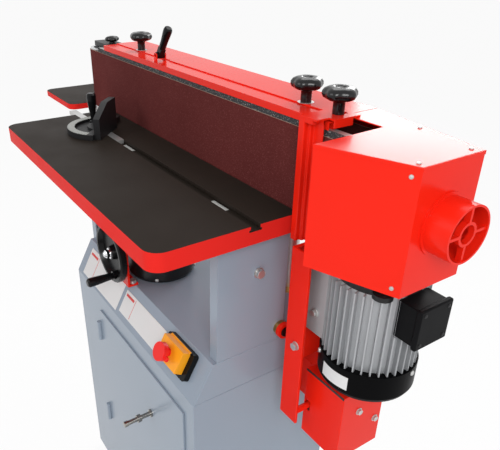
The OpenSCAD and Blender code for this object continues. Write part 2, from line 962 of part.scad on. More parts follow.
// Folded riser channel standing on the deck, outer face at x, open side towards s.
module riser(x, s) {
  lo = min(x, x + s * riser_w);
  face = min(x, x + s * riser_t);
  difference() {
    union() {
      box([face, riser_y0, deck_z], [face + riser_t, riser_y1, -riser_top]);
      for (y = [riser_y0, riser_y1 - riser_t])
        box([lo, y, deck_z], [lo + riser_w, y + riser_t, -riser_top]);
    }
    rod_x([lo - over, -guide_bolt_y, -guide_bolt_z], guide_bolt_d / 2, riser_w + 2 * over);
    rod_x([face - over, -stay_y, -stay_z], stay_plug_d / 2, riser_t + 2 * over);
  }
}

module risers() {
  color(paint_grey) at_datum() {
    riser(cab_x1, -1);
    riser(cab_x0, 1);
  }
}

// Mirrors the children about the middle of the cabinet.
module both_sides() {
  children();
  translate([cab_x0 + cab_x1, 0, 0])
    mirror([1, 0, 0])
      children();
}

module frame_bolts() {
  y = -guide_bolt_y;
  z = -guide_bolt_z;
  dx = lift_plate_w / 2 - bolt_head_d / 2;
  foot_mid = -lift_plate_y + (lift_foot_d + lift_plate_t) / 2;
  color(bright) at_datum() {
    both_sides() {
      rod_x([cab_x1, y, z], bolt_head_d * 2 / 3, sheet);
      rod_x([cab_x1 + sheet, y, z], bolt_head_d / 2, bolt_head_h);
      rod_x([cab_x1 - riser_w, y, z], guide_bolt_d / 2, riser_w);
    }
    for (s = [-1, 1])
      rod_z([lift_c[0] + s * dx, foot_mid, deck_z + lift_plate_t], bolt_head_d / 2, bolt_head_h);
  }
}

module stay_collars() {
  l = stay_bush_l + stay_collar_l + sheet;
  color(paint_red) at_datum() both_sides() {
    rod_x([cab_x1 + stay_bush_l, -stay_y, -stay_z], stay_collar_d / 2, stay_collar_l);
    rod_x([cab_x1 - riser_t, -stay_y, -stay_z], stay_plug_d / 2, riser_t + l);
  }
}

module guide_columns() {
  r = guide_d / 2 + bush_wall;
  color(paint_grey) at_datum()
    for (x = guide_x) difference() {
      union() {
        rod_z([x, axis_y, deck_z], column_d / 2, -column_top - deck_z);
        rod_z([x, axis_y, deck_z], column_flange_d / 2, column_flange_t);
      }
      rod_z([x, axis_y, deck_z + column_flange_t], r, -column_top - deck_z);
    }
}

module bushes() {
  r = guide_d / 2;
  l = (deck_drop - column_top) * 2 / 3;
  color(brass) at_datum() {
    for (x = guide_x) difference() {
      union() {
        rod_z([x, axis_y, -column_top - l], r + bush_wall, l);
        rod_z([x, axis_y, -column_top], column_d / 2, bush_wall);
      }
      rod_z([x, axis_y, -column_top - l - over], r + run_fit, l + bush_wall + 2 * over);
    }
    both_sides() difference() {
      rod_x([cab_x1, -stay_y, -stay_z], stay_bush_d / 2, stay_bush_l);
      rod_x([cab_x1 - over, -stay_y, -stay_z], stay_plug_d / 2, stay_bush_l + 2 * over);
    }
  }
}

module switch_base() {
  color(black) at_datum() on_slope() {
    difference() {
      slab([switch_x0, switch_up, 0], [switch_x1, switch_up + switch_h, switch_t],
        switch_t / 2, switch_t / 2);
      rod_z([button_x, button_y, switch_t / 2], start_d / 2 + run_fit, switch_t);
      rod_x([flap_x0 - over, flap_y1, switch_t], flap_wall + gap, flap_w + 2 * over);
    }
    for (x = [flap_x0 - flap_wall - gap, flap_x0 + flap_w + gap])
      rod_x([x, flap_y1, switch_t], flap_wall, flap_wall);
  }
}

module switch_flap() {
  z0 = switch_t + gap;
  color(yellow) at_datum() on_slope() difference() {
    union() {
      box([flap_x0, flap_y0, z0], [flap_x0 + flap_w, flap_y1, switch_t + flap_t]);
      rod_x([flap_x0, flap_y1, switch_t], flap_wall, flap_w);
    }
    box([flap_x0 + flap_wall, flap_y0 + flap_wall, z0 - over],
      [flap_x0 + flap_w - flap_wall, flap_y1 - 2 * flap_wall, switch_t + flap_t - flap_wall]);
    rod_z([button_x, button_y, switch_t], button_stem_d / 2 + run_fit, flap_t + over);
  }
}

module stop_button() {
  z0 = switch_t + flap_t;
  color(paint_red) at_datum() on_slope() {
    rod_z([button_x, button_y, z0 - flap_wall], button_stem_d / 2, button_stem_h + flap_wall);
    rod_z([button_x, button_y, z0 + button_stem_h], button_d / 2, button_h);
    box([button_x, button_y - button_stem_d / 2, z0 + button_stem_h],
      [button_x + button_d * 2 / 3, button_y, z0 + button_stem_h + button_h / 2]);
  }
}

module start_button() {
  color(green) at_datum() on_slope()
    rod_z([button_x, button_y, switch_t / 2 + start_h], start_d / 2, switch_t / 2);
}

module lift_housing() {
  r = lift_d / 2;
  h = -lift_top - deck_z;
  color(black) at_datum() difference() {
    translate([lift_c[0], lift_c[1], deck_z])
      rotate_extrude()
        polygon([[0, 0], [r - lift_r, 0], [r - lift_r / 3, lift_r / 3], [r, lift_r],
          [r, h - lift_r], [r - lift_r, h], [0, h]]);
    rod_z([lift_c[0], lift_c[1], deck_z + lift_r], lift_screw_d / 2 + run_fit, h);
    rod_y([lift_c[0], lift_c[1] - r - over, -wheel_z], wheel_shaft_d / 2 + run_fit,
      r / 2 + over);
  }
}

module lift_bracket() {
  x0 = lift_c[0] - lift_plate_w / 2;
  x1 = lift_c[0] + lift_plate_w / 2;
  y1 = -lift_plate_y + lift_plate_t;
  color(paint_red) at_datum() difference() {
    union() {
      box([x0, -lift_plate_y, deck_z], [x1, y1, -wheel_z + lift_plate_over]);
      box([x0, -lift_plate_y, deck_z], [x1, -lift_plate_y + lift_foot_d, deck_z + lift_plate_t]);
    }
    rod_y([lift_c[0], -lift_plate_y - over, -wheel_z], wheel_shaft_d / 2 + run_fit,
      lift_plate_t + 2 * over);
  }
}

module lift_screw() {
  z0 = deck_z + lift_r + gap;
  color(steel) at_datum()
    rod_z([lift_c[0], lift_c[1], z0], lift_screw_d / 2, -lift_screw_top - z0);
}

module lift_nut() {
  l = lift_nut_low + slot_rib_z;
  color(steel) at_datum() difference() {
    union() {
      rod_z([lift_c[0], lift_c[1], -lift_nut_low], lift_nut_d / 2, l);
      rod_z([lift_c[0], lift_c[1], slot_rib_z - lift_flange_t], lift_flange_d / 2, lift_flange_t);
    }
    rod_z([lift_c[0], lift_c[1], -lift_nut_low - over], lift_screw_d / 2 + run_fit, l - plate_t);
    rod_z([lift_c[0], lift_c[1], -lift_nut_low + lift_nut_l], lift_screw_d / 2 + clear,
      l - lift_nut_l - plate_t / 2);
  }
}

module handwheel() {
  r = wheel_d / 2;
  ri = r - wheel_rim;
  hub = wheel_hub_d / 2;
  b = wheel_back - wheel_web_t;
  color(black) at_datum() difference() {
    union() {
      translate(wheel_c)
        rotate([-90, 0, 0])
          rotate_extrude()
            polygon([[ri, 0], [r - wheel_rim / 3, 0], [r, wheel_rim / 3],
              [r, wheel_rim_l - wheel_rim / 3], [r - wheel_rim / 3, wheel_rim_l],
              [ri, wheel_rim_l], [hub, wheel_back], [hub, wheel_hub_l], [0, wheel_hub_l],
              [0, wheel_dish], [hub - wheel_rim / 3, wheel_dish], [hub, b],
              [ri - wheel_rim / 2, wheel_rim_l - wheel_web_t]]);
      rod_y([grip_x, -wheel_y, grip_z], grip_d / 2, wheel_rim_l);
    }
    rod_y([wheel_c[0], -wheel_y, wheel_c[2]], wheel_shaft_d / 2, wheel_hub_l + over);
    rod_y([grip_x, -wheel_y - over, grip_z], grip_pin_d / 2, wheel_rim_l - wheel_web_t);
  }
}

// Handwheel shaft with its dome nut, and the pin of the crank grip.
module wheel_shaft() {
  y1 = lift_c[1] - lift_d / 4 - clear;
  pin_l = wheel_rim_l - wheel_web_t - over;
  pin_y = -wheel_y - gap - grip_l + 2 * clear;
  r = hub_nut_d / 2;
  color(bright) at_datum() {
    rod_y([wheel_c[0], -wheel_y + wheel_dish, wheel_c[2]], wheel_shaft_d / 2,
      y1 + wheel_y - wheel_dish);
    translate([wheel_c[0], -wheel_y + wheel_dish, wheel_c[2]])
      rotate([90, 0, 0])
        rotate_extrude()
          polygon([[0, 0], [r * 4 / 3, 0], [r * 4 / 3, sheet], [r, sheet],
            [r, hub_nut_l * 2 / 3], [r / 2, hub_nut_l], [0, hub_nut_l]]);
    rod_y([grip_x, pin_y, grip_z], grip_pin_d / 2, pin_l - wheel_y - pin_y);
  }
}

module crank_grip() {
  r = grip_d / 2;
  color(black) at_datum() difference() {
    translate([grip_x, -wheel_y - gap, grip_z])
      rotate([90, 0, 0])
        rotate_extrude()
          polygon([[0, 0], [r * 2 / 3, 0], [r * 3 / 4, r / 2], [r, grip_l * 3 / 4],
            [r, grip_l - r / 3], [r * 2 / 3, grip_l], [0, grip_l]]);
    rod_y([grip_x, -wheel_y - gap - grip_l + clear, grip_z], grip_pin_d / 2 + run_fit,
      grip_l + over);
  }
}

module main_table() {
  lo = [table_x0, table_y0, -table_t];
  hi = [0, table_y1, 0];
  r = [rim_t, rim_t, 0];
  color(table_dark) at_datum() difference() {
    union() {
      difference() {
        slab(lo, hi, corner_r, rim_t / 2);
        slab(lo + r - [0, 0, over], hi - r - [0, 0, plate_t], corner_r - rim_t, rim_t / 4);
      }
      box([table_x0 + rim_t / 2, -slot_y - slot_rib_half, slot_rib_z],
        [-rim_t / 2, -slot_y + slot_rib_half, -plate_t / 2]);
      for (s = rib_shares)
        box([-s * table_l, table_y0 + rim_t / 2, -plate_t - rib_h],
          [-s * table_l + rim_t, table_y1 - rim_t / 2, -plate_t / 2]);
    }
    box([table_x0 - over, -slot_y - slot_half, -slot_h], [over, -slot_y + slot_half, over]);
    box([table_x0 - over, -slot_y - slot_under_w / 2, -slot_h],
      [over, -slot_y + slot_under_w / 2, -slot_h + slot_under_h]);
    for (x = keeper_x)
      box([-x - keeper_l / 2, -slot_y - slot_half, -slot_h - keeper_t],
        [-x + keeper_l / 2, -slot_y + slot_half, -slot_h + over]);
  }
}

module slot_keepers() {
  color(bright) at_datum()
    for (x = keeper_x)
      box([-x - keeper_l / 2, -slot_y - slot_half, -slot_h - keeper_t],
        [-x + keeper_l / 2, -slot_y + slot_half, -slot_h]);
}

module table_sides() {
  x1 = cab_x1 - riser_t - clear;
  w = guide_bolt_d / 2 + gap;
  y = -guide_bolt_y;
  color(paint_red) at_datum() both_sides() difference() {
    box([x1 - side_t, side_y0, -side_low], [x1, side_y0 + side_d, -plate_t]);
    box([x1 - side_t - over, -slot_y - slot_rib_half - gap, slot_rib_z - gap],
      [x1 + over, -slot_y + slot_rib_half + gap, -plate_t + over]);
    box([x1 - side_t - over, y - w, -guide_bolt_z - table_travel], [x1 + over, y + w,
      -guide_bolt_z]);
    for (z = [-guide_bolt_z, -guide_bolt_z - table_travel])
      rod_x([x1 - side_t - over, y, z], w, side_t + 2 * over);
  }
}

module mitre_bar() {
  x1 = mitre_x + mitre_bar_front;
  color(steel) at_datum() {
    box([x1 - mitre_bar_l, -slot_y - bar_half, -slot_h + gap], [x1, -slot_y + bar_half, -gap]);
    rod_z([mitre_x, -slot_y, -gap], pivot_d / 2, mitre_t);
  }
}

// Half-round base, arc window and fence, turned about the pivot.
module mitre_head() {
  rw = mitre_slot_r + mitre_window / 2;
  ri = mitre_slot_r - mitre_window / 2;
  f0 = fence_off;
  color(black) at_datum()
    translate([mitre_x, -slot_y, gap])
      rotate([0, 0, mitre_turn]) difference() {
        union() {
          difference() {
            cylinder(r = mitre_r, h = mitre_t);
            box([f0, -mitre_r - over, -over], [mitre_r + over, mitre_r + over, mitre_t + over]);
            difference() {
              rod_z([0, 0, mitre_t / 2], rw, mitre_t);
              rod_z([0, 0, 0], ri, 2 * mitre_t);
              box([-pivot_d, -mitre_r, 0], [mitre_r, mitre_r, 2 * mitre_t]);
            }
          }
          translate([f0, 0, 0])
            rotate([90, 0, 90])
              linear_extrude(fence_t)
                polygon([[-fence_front, 0], [fence_rear, 0], [fence_rear, fence_h],
                  [-fence_mid, fence_h], [-fence_front, fence_low_h]]);
        }
        rod_z([0, 0, -over], pivot_d / 2 + run_fit, mitre_t + 2 * over);
        rotate([0, 0, -handle_turn])
          rod_z([-mitre_slot_r, 0, over], pivot_d / 2 + run_fit, mitre_t);
      }
}

module mitre_handle() {
  r = handle_d / 2;
  stud = mitre_t / 2 - 2 * over;
  color(black) at_datum()
    translate([mitre_x, -slot_y, gap])
      rotate([0, 0, mitre_turn - handle_turn])
        translate([-mitre_slot_r, 0, mitre_t / 2 + gap]) {
          rotate_extrude()
            polygon([[0, 0], [r * 3 / 4, 0], [r * 3 / 4, r / 3], [r / 2, r / 2],
              [r * 2 / 3, handle_h / 3], [r, handle_h * 3 / 4], [r, handle_h - r / 3],
              [r * 2 / 3, handle_h], [0, handle_h]]);
          rod_z([0, 0, -stud], pivot_d / 2, stud + over);
        }
}

module end_table() {
  rc = belt_ro + aux_gap;
  color(table_dark) at_datum() difference() {
    slab([aux_x0, aux_y0, -aux_t], [aux_x1, aux_y1, 0], aux_r, aux_r);
    rod_z([idler_x, axis_y, -aux_t - over], rc, aux_t + 2 * over);
    box([idler_x, axis_y - rc, -aux_t - over], [aux_x1 + over, axis_y + rc, over]);
  }
}

module end_post() {
  color(steel) at_datum() {
    rod_z([post_x, axis_y, -post_low], post_d / 2, post_low - aux_t);
    rod_z([post_x, axis_y, -2 * aux_t], post_d, aux_t);
  }
}

module end_arm() {
  z1 = -sleeve_top - sheet;
  y0 = axis_y - aux_arm_s / 2;
  color(paint_grey) at_datum() difference() {
    union() {
      box([post_x, y0, z1 - aux_arm_s], [cab_x0, y0 + aux_arm_s, z1]);
      box([cab_x0 - arm_plate, y0 - aux_arm_s / 4, deck_z - aux_arm_s],
        [cab_x0, y0 + 5 * aux_arm_s / 4, z1]);
      rod_z([post_x, axis_y, -sleeve_top - sleeve_l], sleeve_d / 2, sleeve_l);
    }
    rod_z([post_x, axis_y, -sleeve_top - sleeve_l - over], post_d / 2 + run_fit,
      sleeve_l + 2 * over);
    rod_y([post_x, axis_y - sleeve_d, lock_z], stud_d / 2 + run_fit, sleeve_d);
  }
}

module end_lock() {
  y = axis_y - sleeve_d / 2 - gap;
  color(black) at_datum() {
    translate([post_x, y, lock_z])
      rotate([90, 0, 0])
        lobed_knob(lock_d, lock_l, knob_stem_d, lock_l / 2);
    rod_y([post_x, y - over, lock_z], stud_d / 2, (sleeve_d - post_d) / 2 - over);
  }
}

module head_frame() {
  x0 = idler_x - base_over_idler;
  x1 = drive_x + base_over_drive;
  l = platen_x1 - platen_x0;
  color(steel) at_datum() difference() {
    union() {
      box([x0, base_y0, base_z0], [x1, base_y1, base_z1]);
      box([platen_x0, web_y, base_z1 - over], [platen_x1, web_y + web_t, platen_z1]);
      box([platen_x0, platen_y, platen_z0], [platen_x1, web_y + over, platen_z1]);
      for (s = gusset_shares)
        box([platen_x0 + s * l, web_y, base_z1 - over], [platen_x0 + s * l + gusset_t,
          web_y + web_t + gusset_d, base_z1 + gusset_h]);
      for (s = [-1, 1]) {
        y = axis_y + s * (carriage_d + rail_s + 2 * gap) / 2;
        box([x0, y - rail_s / 2, base_z1 - over], [idler_x + carriage_right + tension_travel,
          y + rail_s / 2, base_z1 + rail_s]);
      }
    }
    rod_z([drive_x, axis_y, base_z0 - over], shaft_d, base_t + 2 * over);
  }
}

module graphite_pad() {
  color(graphite) at_datum()
    box([platen_x0, pad_y, platen_z0], [platen_x1, platen_y, platen_z1]);
}

module sanding_belt() {
  color(belt_brown) at_datum() difference() {
    loop(belt_ro, belt_z0, belt_z1);
    loop(belt_ri, belt_z0 - over, belt_z1 + over);
  }
}

module top_strip() {
  ear = lever_hub_l / 2 + gap;
  ear_r = (lever_pin_d + lever_ear_t) / 2;
  color(paint_red) at_datum() difference() {
    union() {
      box([-strip_left, 0, platen_z1], [strip_right, sheet, strip_z]);
      box([-strip_left, 0, strip_z - sheet], [strip_right, strip_d, strip_z]);
      box([-strip_left, web_y, platen_z1], [strip_right, web_y + web_t, strip_z]);
      for (y = [lever_y - ear - lever_ear_t, lever_y + ear]) {
        box([-lever_x - ear_r, y, strip_z - sheet], [-lever_x + ear_r, y + lever_ear_t, lever_z]);
        rod_y([-lever_x, y, lever_z], ear_r, lever_ear_t);
      }
    }
    rod_y([-lever_x, 0, lever_z], lever_pin_d / 2 + run_fit, strip_d);
    for (x = [-knob_a_x, -knob_b_x])
      rod_z([x, knob_y, platen_z1], stud_d / 2 + run_fit, lip_h + over);
    rod_z([stop_knob_x, stop_knob_y, platen_z1], stud_d / 2 + run_fit, lip_h + over);
  }
}

module rear_cover() {
  color(paint_red) at_datum() difference() {
    union() {
      box([-strip_left, cover_front, strip_z], [cover_right, cover_y, cover_z]);
      box([-strip_left, cover_back, -cover_drop], [cover_right, cover_y, cover_z]);
    }
    for (x = [-knob_a_x, -knob_b_x])
      rod_z([x, knob_y, strip_z - over], stud_d / 2 + gap, sheet + 2 * over);
    box([-lever_x - lever_hub_d, cover_front - over, strip_z - over], [-lever_x + lever_hub_d,
      lever_y + lever_hub_l, cover_z + over]);
  }
}

module guide_rods() {
  color(brass) at_datum()
    for (x = guide_x)
      rod_z([x, axis_y, -guide_low], guide_d / 2, guide_low + base_z0);
}

// Sliding plate, upright, axle and top block of the idler drum.
module idler_carriage() {
  y0 = axis_y - carriage_d / 2;
  color(black) at_datum() difference() {
    union() {
      box([idler_x - carriage_left, y0, carriage_z0], [idler_x + carriage_right,
        y0 + carriage_d, carriage_z1]);
      box([upright_x0, axis_y - upright_d / 2, carriage_z1 - over], [upright_x1,
        axis_y + upright_d / 2, block_z0 + over]);
      rod_z([idler_x, axis_y, carriage_z0], axle_d / 2, block_z0 + over - carriage_z0);
      slab([idler_x - carriage_left, axis_y - upright_d / 2, block_z0],
        [upright_x1, axis_y + upright_d / 2, block_z1], upright_t / 2, upright_t / 2);
    }
    rod_z([track_x, axis_y, block_z0 + clear], track_screw_d / 2 + run_fit, block_h);
  }
}

module idler_drum() {
  color(alloy) at_datum()
    drum(idler_x, axle_d / 2 + run_fit);
}

module tracking_knob() {
  depth = block_h - 2 * clear;
  color(black) at_datum()
    translate([track_x, axis_y, block_z1 + gap]) {
      lobed_knob(track_d, track_l * 2 / 3, knob_stem_d, track_l / 3);
      rod_z([0, 0, -depth], track_screw_d / 2, depth + over);
    }
}

// Cam lever with its hub and cross pin between two ears.
module tension_lever() {
  r = lever_grip_d / 2;
  l = lever_hub_l / 2;
  pin = l + gap + lever_ear_t;
  color(black) at_datum()
    translate([-lever_x, lever_y, lever_z]) {
      rod_y([0, -l, 0], lever_hub_d / 2, lever_hub_l);
      rod_y([0, -pin, 0], lever_pin_d / 2, 2 * pin);
      rotate([0, lever_lean, 0]) {
        cylinder(r = lever_arm_d / 2, h = lever_arm + over);
        translate([0, 0, lever_arm])
          rotate_extrude()
            polygon([[0, 0], [r * 3 / 4, 0], [r * 5 / 6, r / 2], [r, lever_grip_l * 2 / 3],
              [r, lever_grip_l - r / 2], [r / 2, lever_grip_l], [0, lever_grip_l]]);
      }
    }
}

module cover_knob_a() {
  color(black) at_datum()
    clamp_knob([-knob_a_x, knob_y, knob_z + gap], lip_h);
}

module cover_knob_b() {
  color(black) at_datum()
    clamp_knob([-knob_b_x, knob_y, knob_z + gap], lip_h);
}

// Lobed knob with a stud of length l below its stem.
module clamp_knob(p, l) {
  translate(p) {
    lobed_knob(knob_d, knob_h, knob_stem_d, knob_stem_h);
    rod_z([0, 0, -l], stud_d / 2, l + over);
  }
}

module work_stop() {
  x0 = stop_x;
  x1 = stop_x + stop_w;
  w0 = stop_x + (stop_w - stop_web_w) / 2;
  w1 = w0 + stop_web_w;
  fy = -stop_gap - stop_t;
  hole = stud_d / 2 + gap;
  color(paint_red) at_datum() difference() {
    union() {
      box([w0, -stop_y, -stop_low], [w1, -stop_y + stop_t, strap_z1]);
      for (x = [w0, w1 - stop_t])
        box([x, -stop_y, -stop_low], [x + stop_t, fy + stop_t, strap_z1]);
      box([x0, fy, -stop_low], [w0 + stop_t, fy + stop_t, strap_z1]);
      box([w1 - stop_t, fy, -stop_low], [x1, fy + stop_t, strap_z1]);
      box([x0, -stop_y, strap_z0], [strap_x1, stop_back, strap_z1]);
      box([strap_x1 - stop_t, stop_gap, strap_z1 - stop_flange_h], [strap_x1,
        hood_notch_y - stop_gap, strap_z1]);
    }
    for (y = [stop_knob_y, stop_knob_y + stop_travel])
      rod_z([stop_knob_x, y, strap_z0 - over], hole, stop_t + 2 * over);
    box([stop_knob_x - hole, stop_knob_y, strap_z0 - over], [stop_knob_x + hole,
      stop_knob_y + stop_travel, strap_z1 + over]);
    box([x1, -stop_y - over, strap_z0 - over], [strap_x1 + over, stop_gap, strap_z1 + over]);
  }
}

module stop_knob() {
  color(black) at_datum()
    clamp_knob([stop_knob_x, stop_knob_y, strap_z1 + gap], lip_h);
}

module dust_hood() {
  p = hood_pts;
  color(paint_red) at_datum() difference() {
    union() {
      translate([0, 0, hood_z0])
        linear_extrude(strip_z - hood_z0)
          polygon([p[0], p[1], p[2], p[3], p[3] + left_of(p[2], p[3], sheet),
            inner_corner(p[1], p[2], p[3], sheet), inner_corner(p[0], p[1], p[2], sheet),
            p[0] + left_of(p[0], p[1], sheet)]);
      translate([0, 0, hood_z0])
        linear_extrude(sheet)
          polygon(p);
    }
    rod_z([drive_x, axis_y, hood_z0 - over], belt_ro + clear, sheet + 2 * over);
    box([hood_arm_x - over, axis_y - belt_ro - clear, hood_z0 - over],
      [drive_x, axis_y + belt_ro + clear, hood_z0 + sheet + over]);
    rod_x([hood_x1 - sheet - over, port_y, port_z], port_d / 2 - port_wall, sheet + 2 * over);
  }
}

module hood_top() {
  color(paint_red) at_datum()
    translate([0, 0, strip_z])
      linear_extrude(sheet)
        polygon(hood_pts);
}

// Tube with a collar and a grille of a cross and a ring.
module dust_port() {
  r = port_d / 2;
  ring = r * port_ring_share;
  color(paint_red) at_datum()
    translate([hood_x1, port_y, port_z])
      rotate([0, 90, 0]) {
        difference() {
          union() {
            cylinder(r = r, h = port_l);
            cylinder(r = port_collar_d / 2, h = port_collar_t);
          }
          translate([0, 0, -over])
            cylinder(r = r - port_wall, h = port_l + 2 * over);
        }
        translate([0, 0, port_l - port_bar_l - port_bar / 2])
          difference() {
            union() {
              cylinder(r = ring, h = port_bar_l);
              for (a = [0, 90])
                rotate([0, 0, a])
                  box([-r + port_wall / 2, -port_bar / 2, 0], [r - port_wall / 2, port_bar / 2,
                    port_bar_l]);
            }
            translate([0, 0, -over])
              cylinder(r = ring - port_bar, h = port_bar_l + 2 * over);
          }
      }
}

// Finned stator housing with its feet and the pad of the terminal box.
module motor_body() {
  c = [drive_x, axis_y, motor_z0];
  root = sqrt(pow(motor_core_d / 2, 2) - pow(fin_t / 2, 2));
  leg = motor_core_d * 2 / 5;
  one_fin = [[root, -fin_t / 2], [motor_fin_d / 2, -fin_t / 2], [motor_fin_d / 2, fin_t / 2],
    [root, fin_t / 2]];
  turns = [for (i = [1:fin_n]) (i - 1 / 2) * 360 / fin_n];
  outline = [for (a = turns) for (q = one_fin)
    [q[0] * cos(a) - q[1] * sin(a), q[0] * sin(a) + q[1] * cos(a)]];
  color(alloy) at_datum() difference() {
    union() {
      translate(c)
        linear_extrude(motor_l)
          polygon(outline);
      box([feet_x, axis_y - foot_y, -foot_low], [feet_x + foot_t, axis_y + foot_y, motor_z1]);
      box([feet_x, axis_y - leg, -foot_low], [drive_x, axis_y + leg, motor_z1]);
    }
    box([drive_x + term_x0, axis_y - term_w / 2 - clear, -term_z - term_h / 2 - clear],
      [drive_x + motor_fin_d, axis_y + term_w / 2 + clear, -term_z + term_h / 2 + clear]);
    rod_z(c - [0, 0, over], shaft_d / 2 + clear, motor_l + 2 * over);
  }
}

module end_shield() {
  lug = motor_fin_d / 2 - bolt_head_d / 2;
  color(black) at_datum() difference() {
    union() {
      rod_z([drive_x, axis_y, motor_z1], motor_core_d / 2, shield_l);
      for (a = [45:90:315])
        rod_z([drive_x + lug * cos(a), axis_y + lug * sin(a), motor_z1], bolt_head_d, shield_l * 2 / 3);
    }
    rod_z([drive_x, axis_y, motor_z1 - over], shaft_d / 2 + run_fit, shield_l + 2 * over);
  }
}

module fan_cowl() {
  r = cowl_d / 2;
  color(black) at_datum() difference() {
    translate([drive_x, axis_y, cowl_z0])
      rotate_extrude()
        polygon([[0, 0], [r - cowl_r, 0], [r - cowl_r / 3, cowl_r / 3], [r, cowl_r], [r, cowl_h],
          [motor_core_d / 2 - sheet, cowl_h], [motor_core_d / 2 - sheet, cowl_h - sheet],
          [r - sheet, cowl_h - sheet], [r - sheet, cowl_r], [r - cowl_r, sheet], [0, sheet]]);
    for (i = [1:cowl_slot_n])
      translate([drive_x, axis_y, cowl_z0 - over])
        rotate([0, 0, i * 360 / cowl_slot_n])
          translate([r / 4, -sheet, 0])
            cube([r / 2, 2 * sheet, sheet + 2 * over]);
  }
}

// Terminal box and its lid on the motor's right side.
module terminal_box() {
  x1 = drive_x + term_reach;
  y0 = axis_y - term_w / 2;
  z0 = -term_z - term_h / 2;
  color(black) at_datum() {
    box([drive_x + term_x0, y0, z0], [x1 - term_lid, y0 + term_w, z0 + term_h]);
    box([x1 - term_lid, y0 - sheet, z0 - sheet], [x1, y0 + term_w + sheet, z0 + term_h + sheet]);
  }
}

module motor_bracket() {
  color(paint_red) at_datum() {
    box([bracket_x0, bar_y, -bracket_low], [feet_x, axis_y + foot_y, base_z0]);
    box([bracket_x0, bar_y, -bar_bolt_z - tab_h / 2], [bracket_x0 + bar_w - bracket_t,
      bar_y + bar_t, -bar_bolt_z + tab_h / 2]);
  }
}

// Bar from the motor bracket down to the oscillation drive, with its drive pin.
module pull_bar() {
  color(paint_red) at_datum() {
    box([bracket_x0, bar_y - bar_t, -bar_low], [bracket_x0 + bar_w, bar_y, -bar_top]);
    rod_y([osc_pin_x, bar_y - bar_t, -osc_pin_z], osc_pin_d / 2, bracket_front + bar_t + osc_pin_l);
  }
}

// Foot bolts, bar bolt and the screws of the hood.
module head_fasteners() {
  p = hood_pts;
  d = p[1] - p[0];
  color(bright) at_datum() {
    for (s = [-1, 1], z = [-foot_bolt_low, -foot_bolt_low + foot_b])
      rod_x([feet_x + foot_t, axis_y + s * foot_a / 2, z], bolt_head_d / 2, bolt_head_h);
    rod_y([bracket_x0 + bar_bolt_x, bar_y - bar_t - bolt_head_h, -bar_bolt_z], bolt_head_d / 2,
      bolt_head_h);
    for (y = [-hood_y1 + screw_in / 2, hood_y2 - screw_in])
      rod_z([hood_x1 - screw_in, y, cover_z], screw_d / 2, screw_h);
    rod_z([(hood_x1 + hood_arm_x) / 2, (hood_y2 + cover_y) / 2 - screw_in, cover_z], screw_d / 2,
      screw_h);
    translate([p[1][0], p[1][1], 0])
      rotate([0, 0, atan2(d[1], d[0])])
        for (z = [strip_z - screw_in, hood_z0 + screw_in])
          rod_y([-screw_in, -screw_h, z], screw_d / 2, screw_h);
  }
}

module drum(x, bore) {
  mid = (drum_z0 + drum_z1) / 2;
  pocket = mid - drum_web / 2 - drum_z0;
  difference() {
    rod_z([x, axis_y, drum_z0], drum_r, drum_z1 - drum_z0);
    for (z = [drum_z0 - over, mid + drum_web / 2])
      difference() {
        rod_z([x, axis_y, z], drum_r - drum_wall, pocket + over);
        rod_z([x, axis_y, z - over], drum_hub_d / 2, pocket + 3 * over);
      }
    rod_z([x, axis_y, drum_z0 - over], bore, drum_z1 - drum_z0 + 2 * over);
  }
}

module drive_drum() {
  color(alloy) at_datum()
    drum(drive_x, shaft_d / 2);
}

// Motor shaft with the cooling fan at its lower end.
module drive_shaft() {
  z0 = cowl_z0 + sheet + clear;
  z1 = z0 + blade_h;
  color(steel) at_datum() {
    rod_z([drive_x, axis_y, z0], shaft_d / 2, drum_z1 - z0);
    rod_z([drive_x, axis_y, z1], fan_d / 2, sheet);
    for (i = [1:blade_n])
      translate([drive_x, axis_y, z0])
        rotate([0, 0, i * 360 / blade_n])
          translate([shaft_d / 2 - over, -sheet / 2, 0])
            cube([(fan_d - shaft_d) / 2, sheet, blade_h + over]);
  }
}

// Opening for the drive pin with room for the stroke.
module pin_slot(y0, y1) {
  r = osc_pin_d / 2 + over;
  s = osc_stroke / 2 + over;
  box([osc_pin_x - r, y0, -osc_pin_z - s - r], [osc_pin_x + r, y1, -osc_pin_z + s + r]);
}

// Folded box of the oscillation drive and the arm to the cabinet.
module oscillation_box() {
  y1 = osc_d - osc_in;
  color(paint_red) at_datum() {
    difference() {
      box([osc_x, 0, osc_z0], [osc_x + osc_w, osc_d, osc_z1]);
      box([osc_x + sheet, sheet, osc_z0 + sheet], [osc_x + osc_w - sheet, osc_d - sheet,
        osc_z1 - sheet]);
      pin_slot(-over, sheet + over);
    }
    box([cab_x1, y1 - arm_d, osc_z0 + osc_in], [osc_x, y1, osc_z0 + osc_in + arm_h]);
  }
}

module oscillation_unit() {
  color(steel) at_datum() difference() {
    box([osc_x + sheet, sheet + osc_in, osc_z0 + sheet], [osc_x + osc_w - osc_in, osc_d - osc_in,
      osc_z0 + sheet + osc_unit_h]);
    pin_slot(-over, osc_pin_l + clear);
  }
}

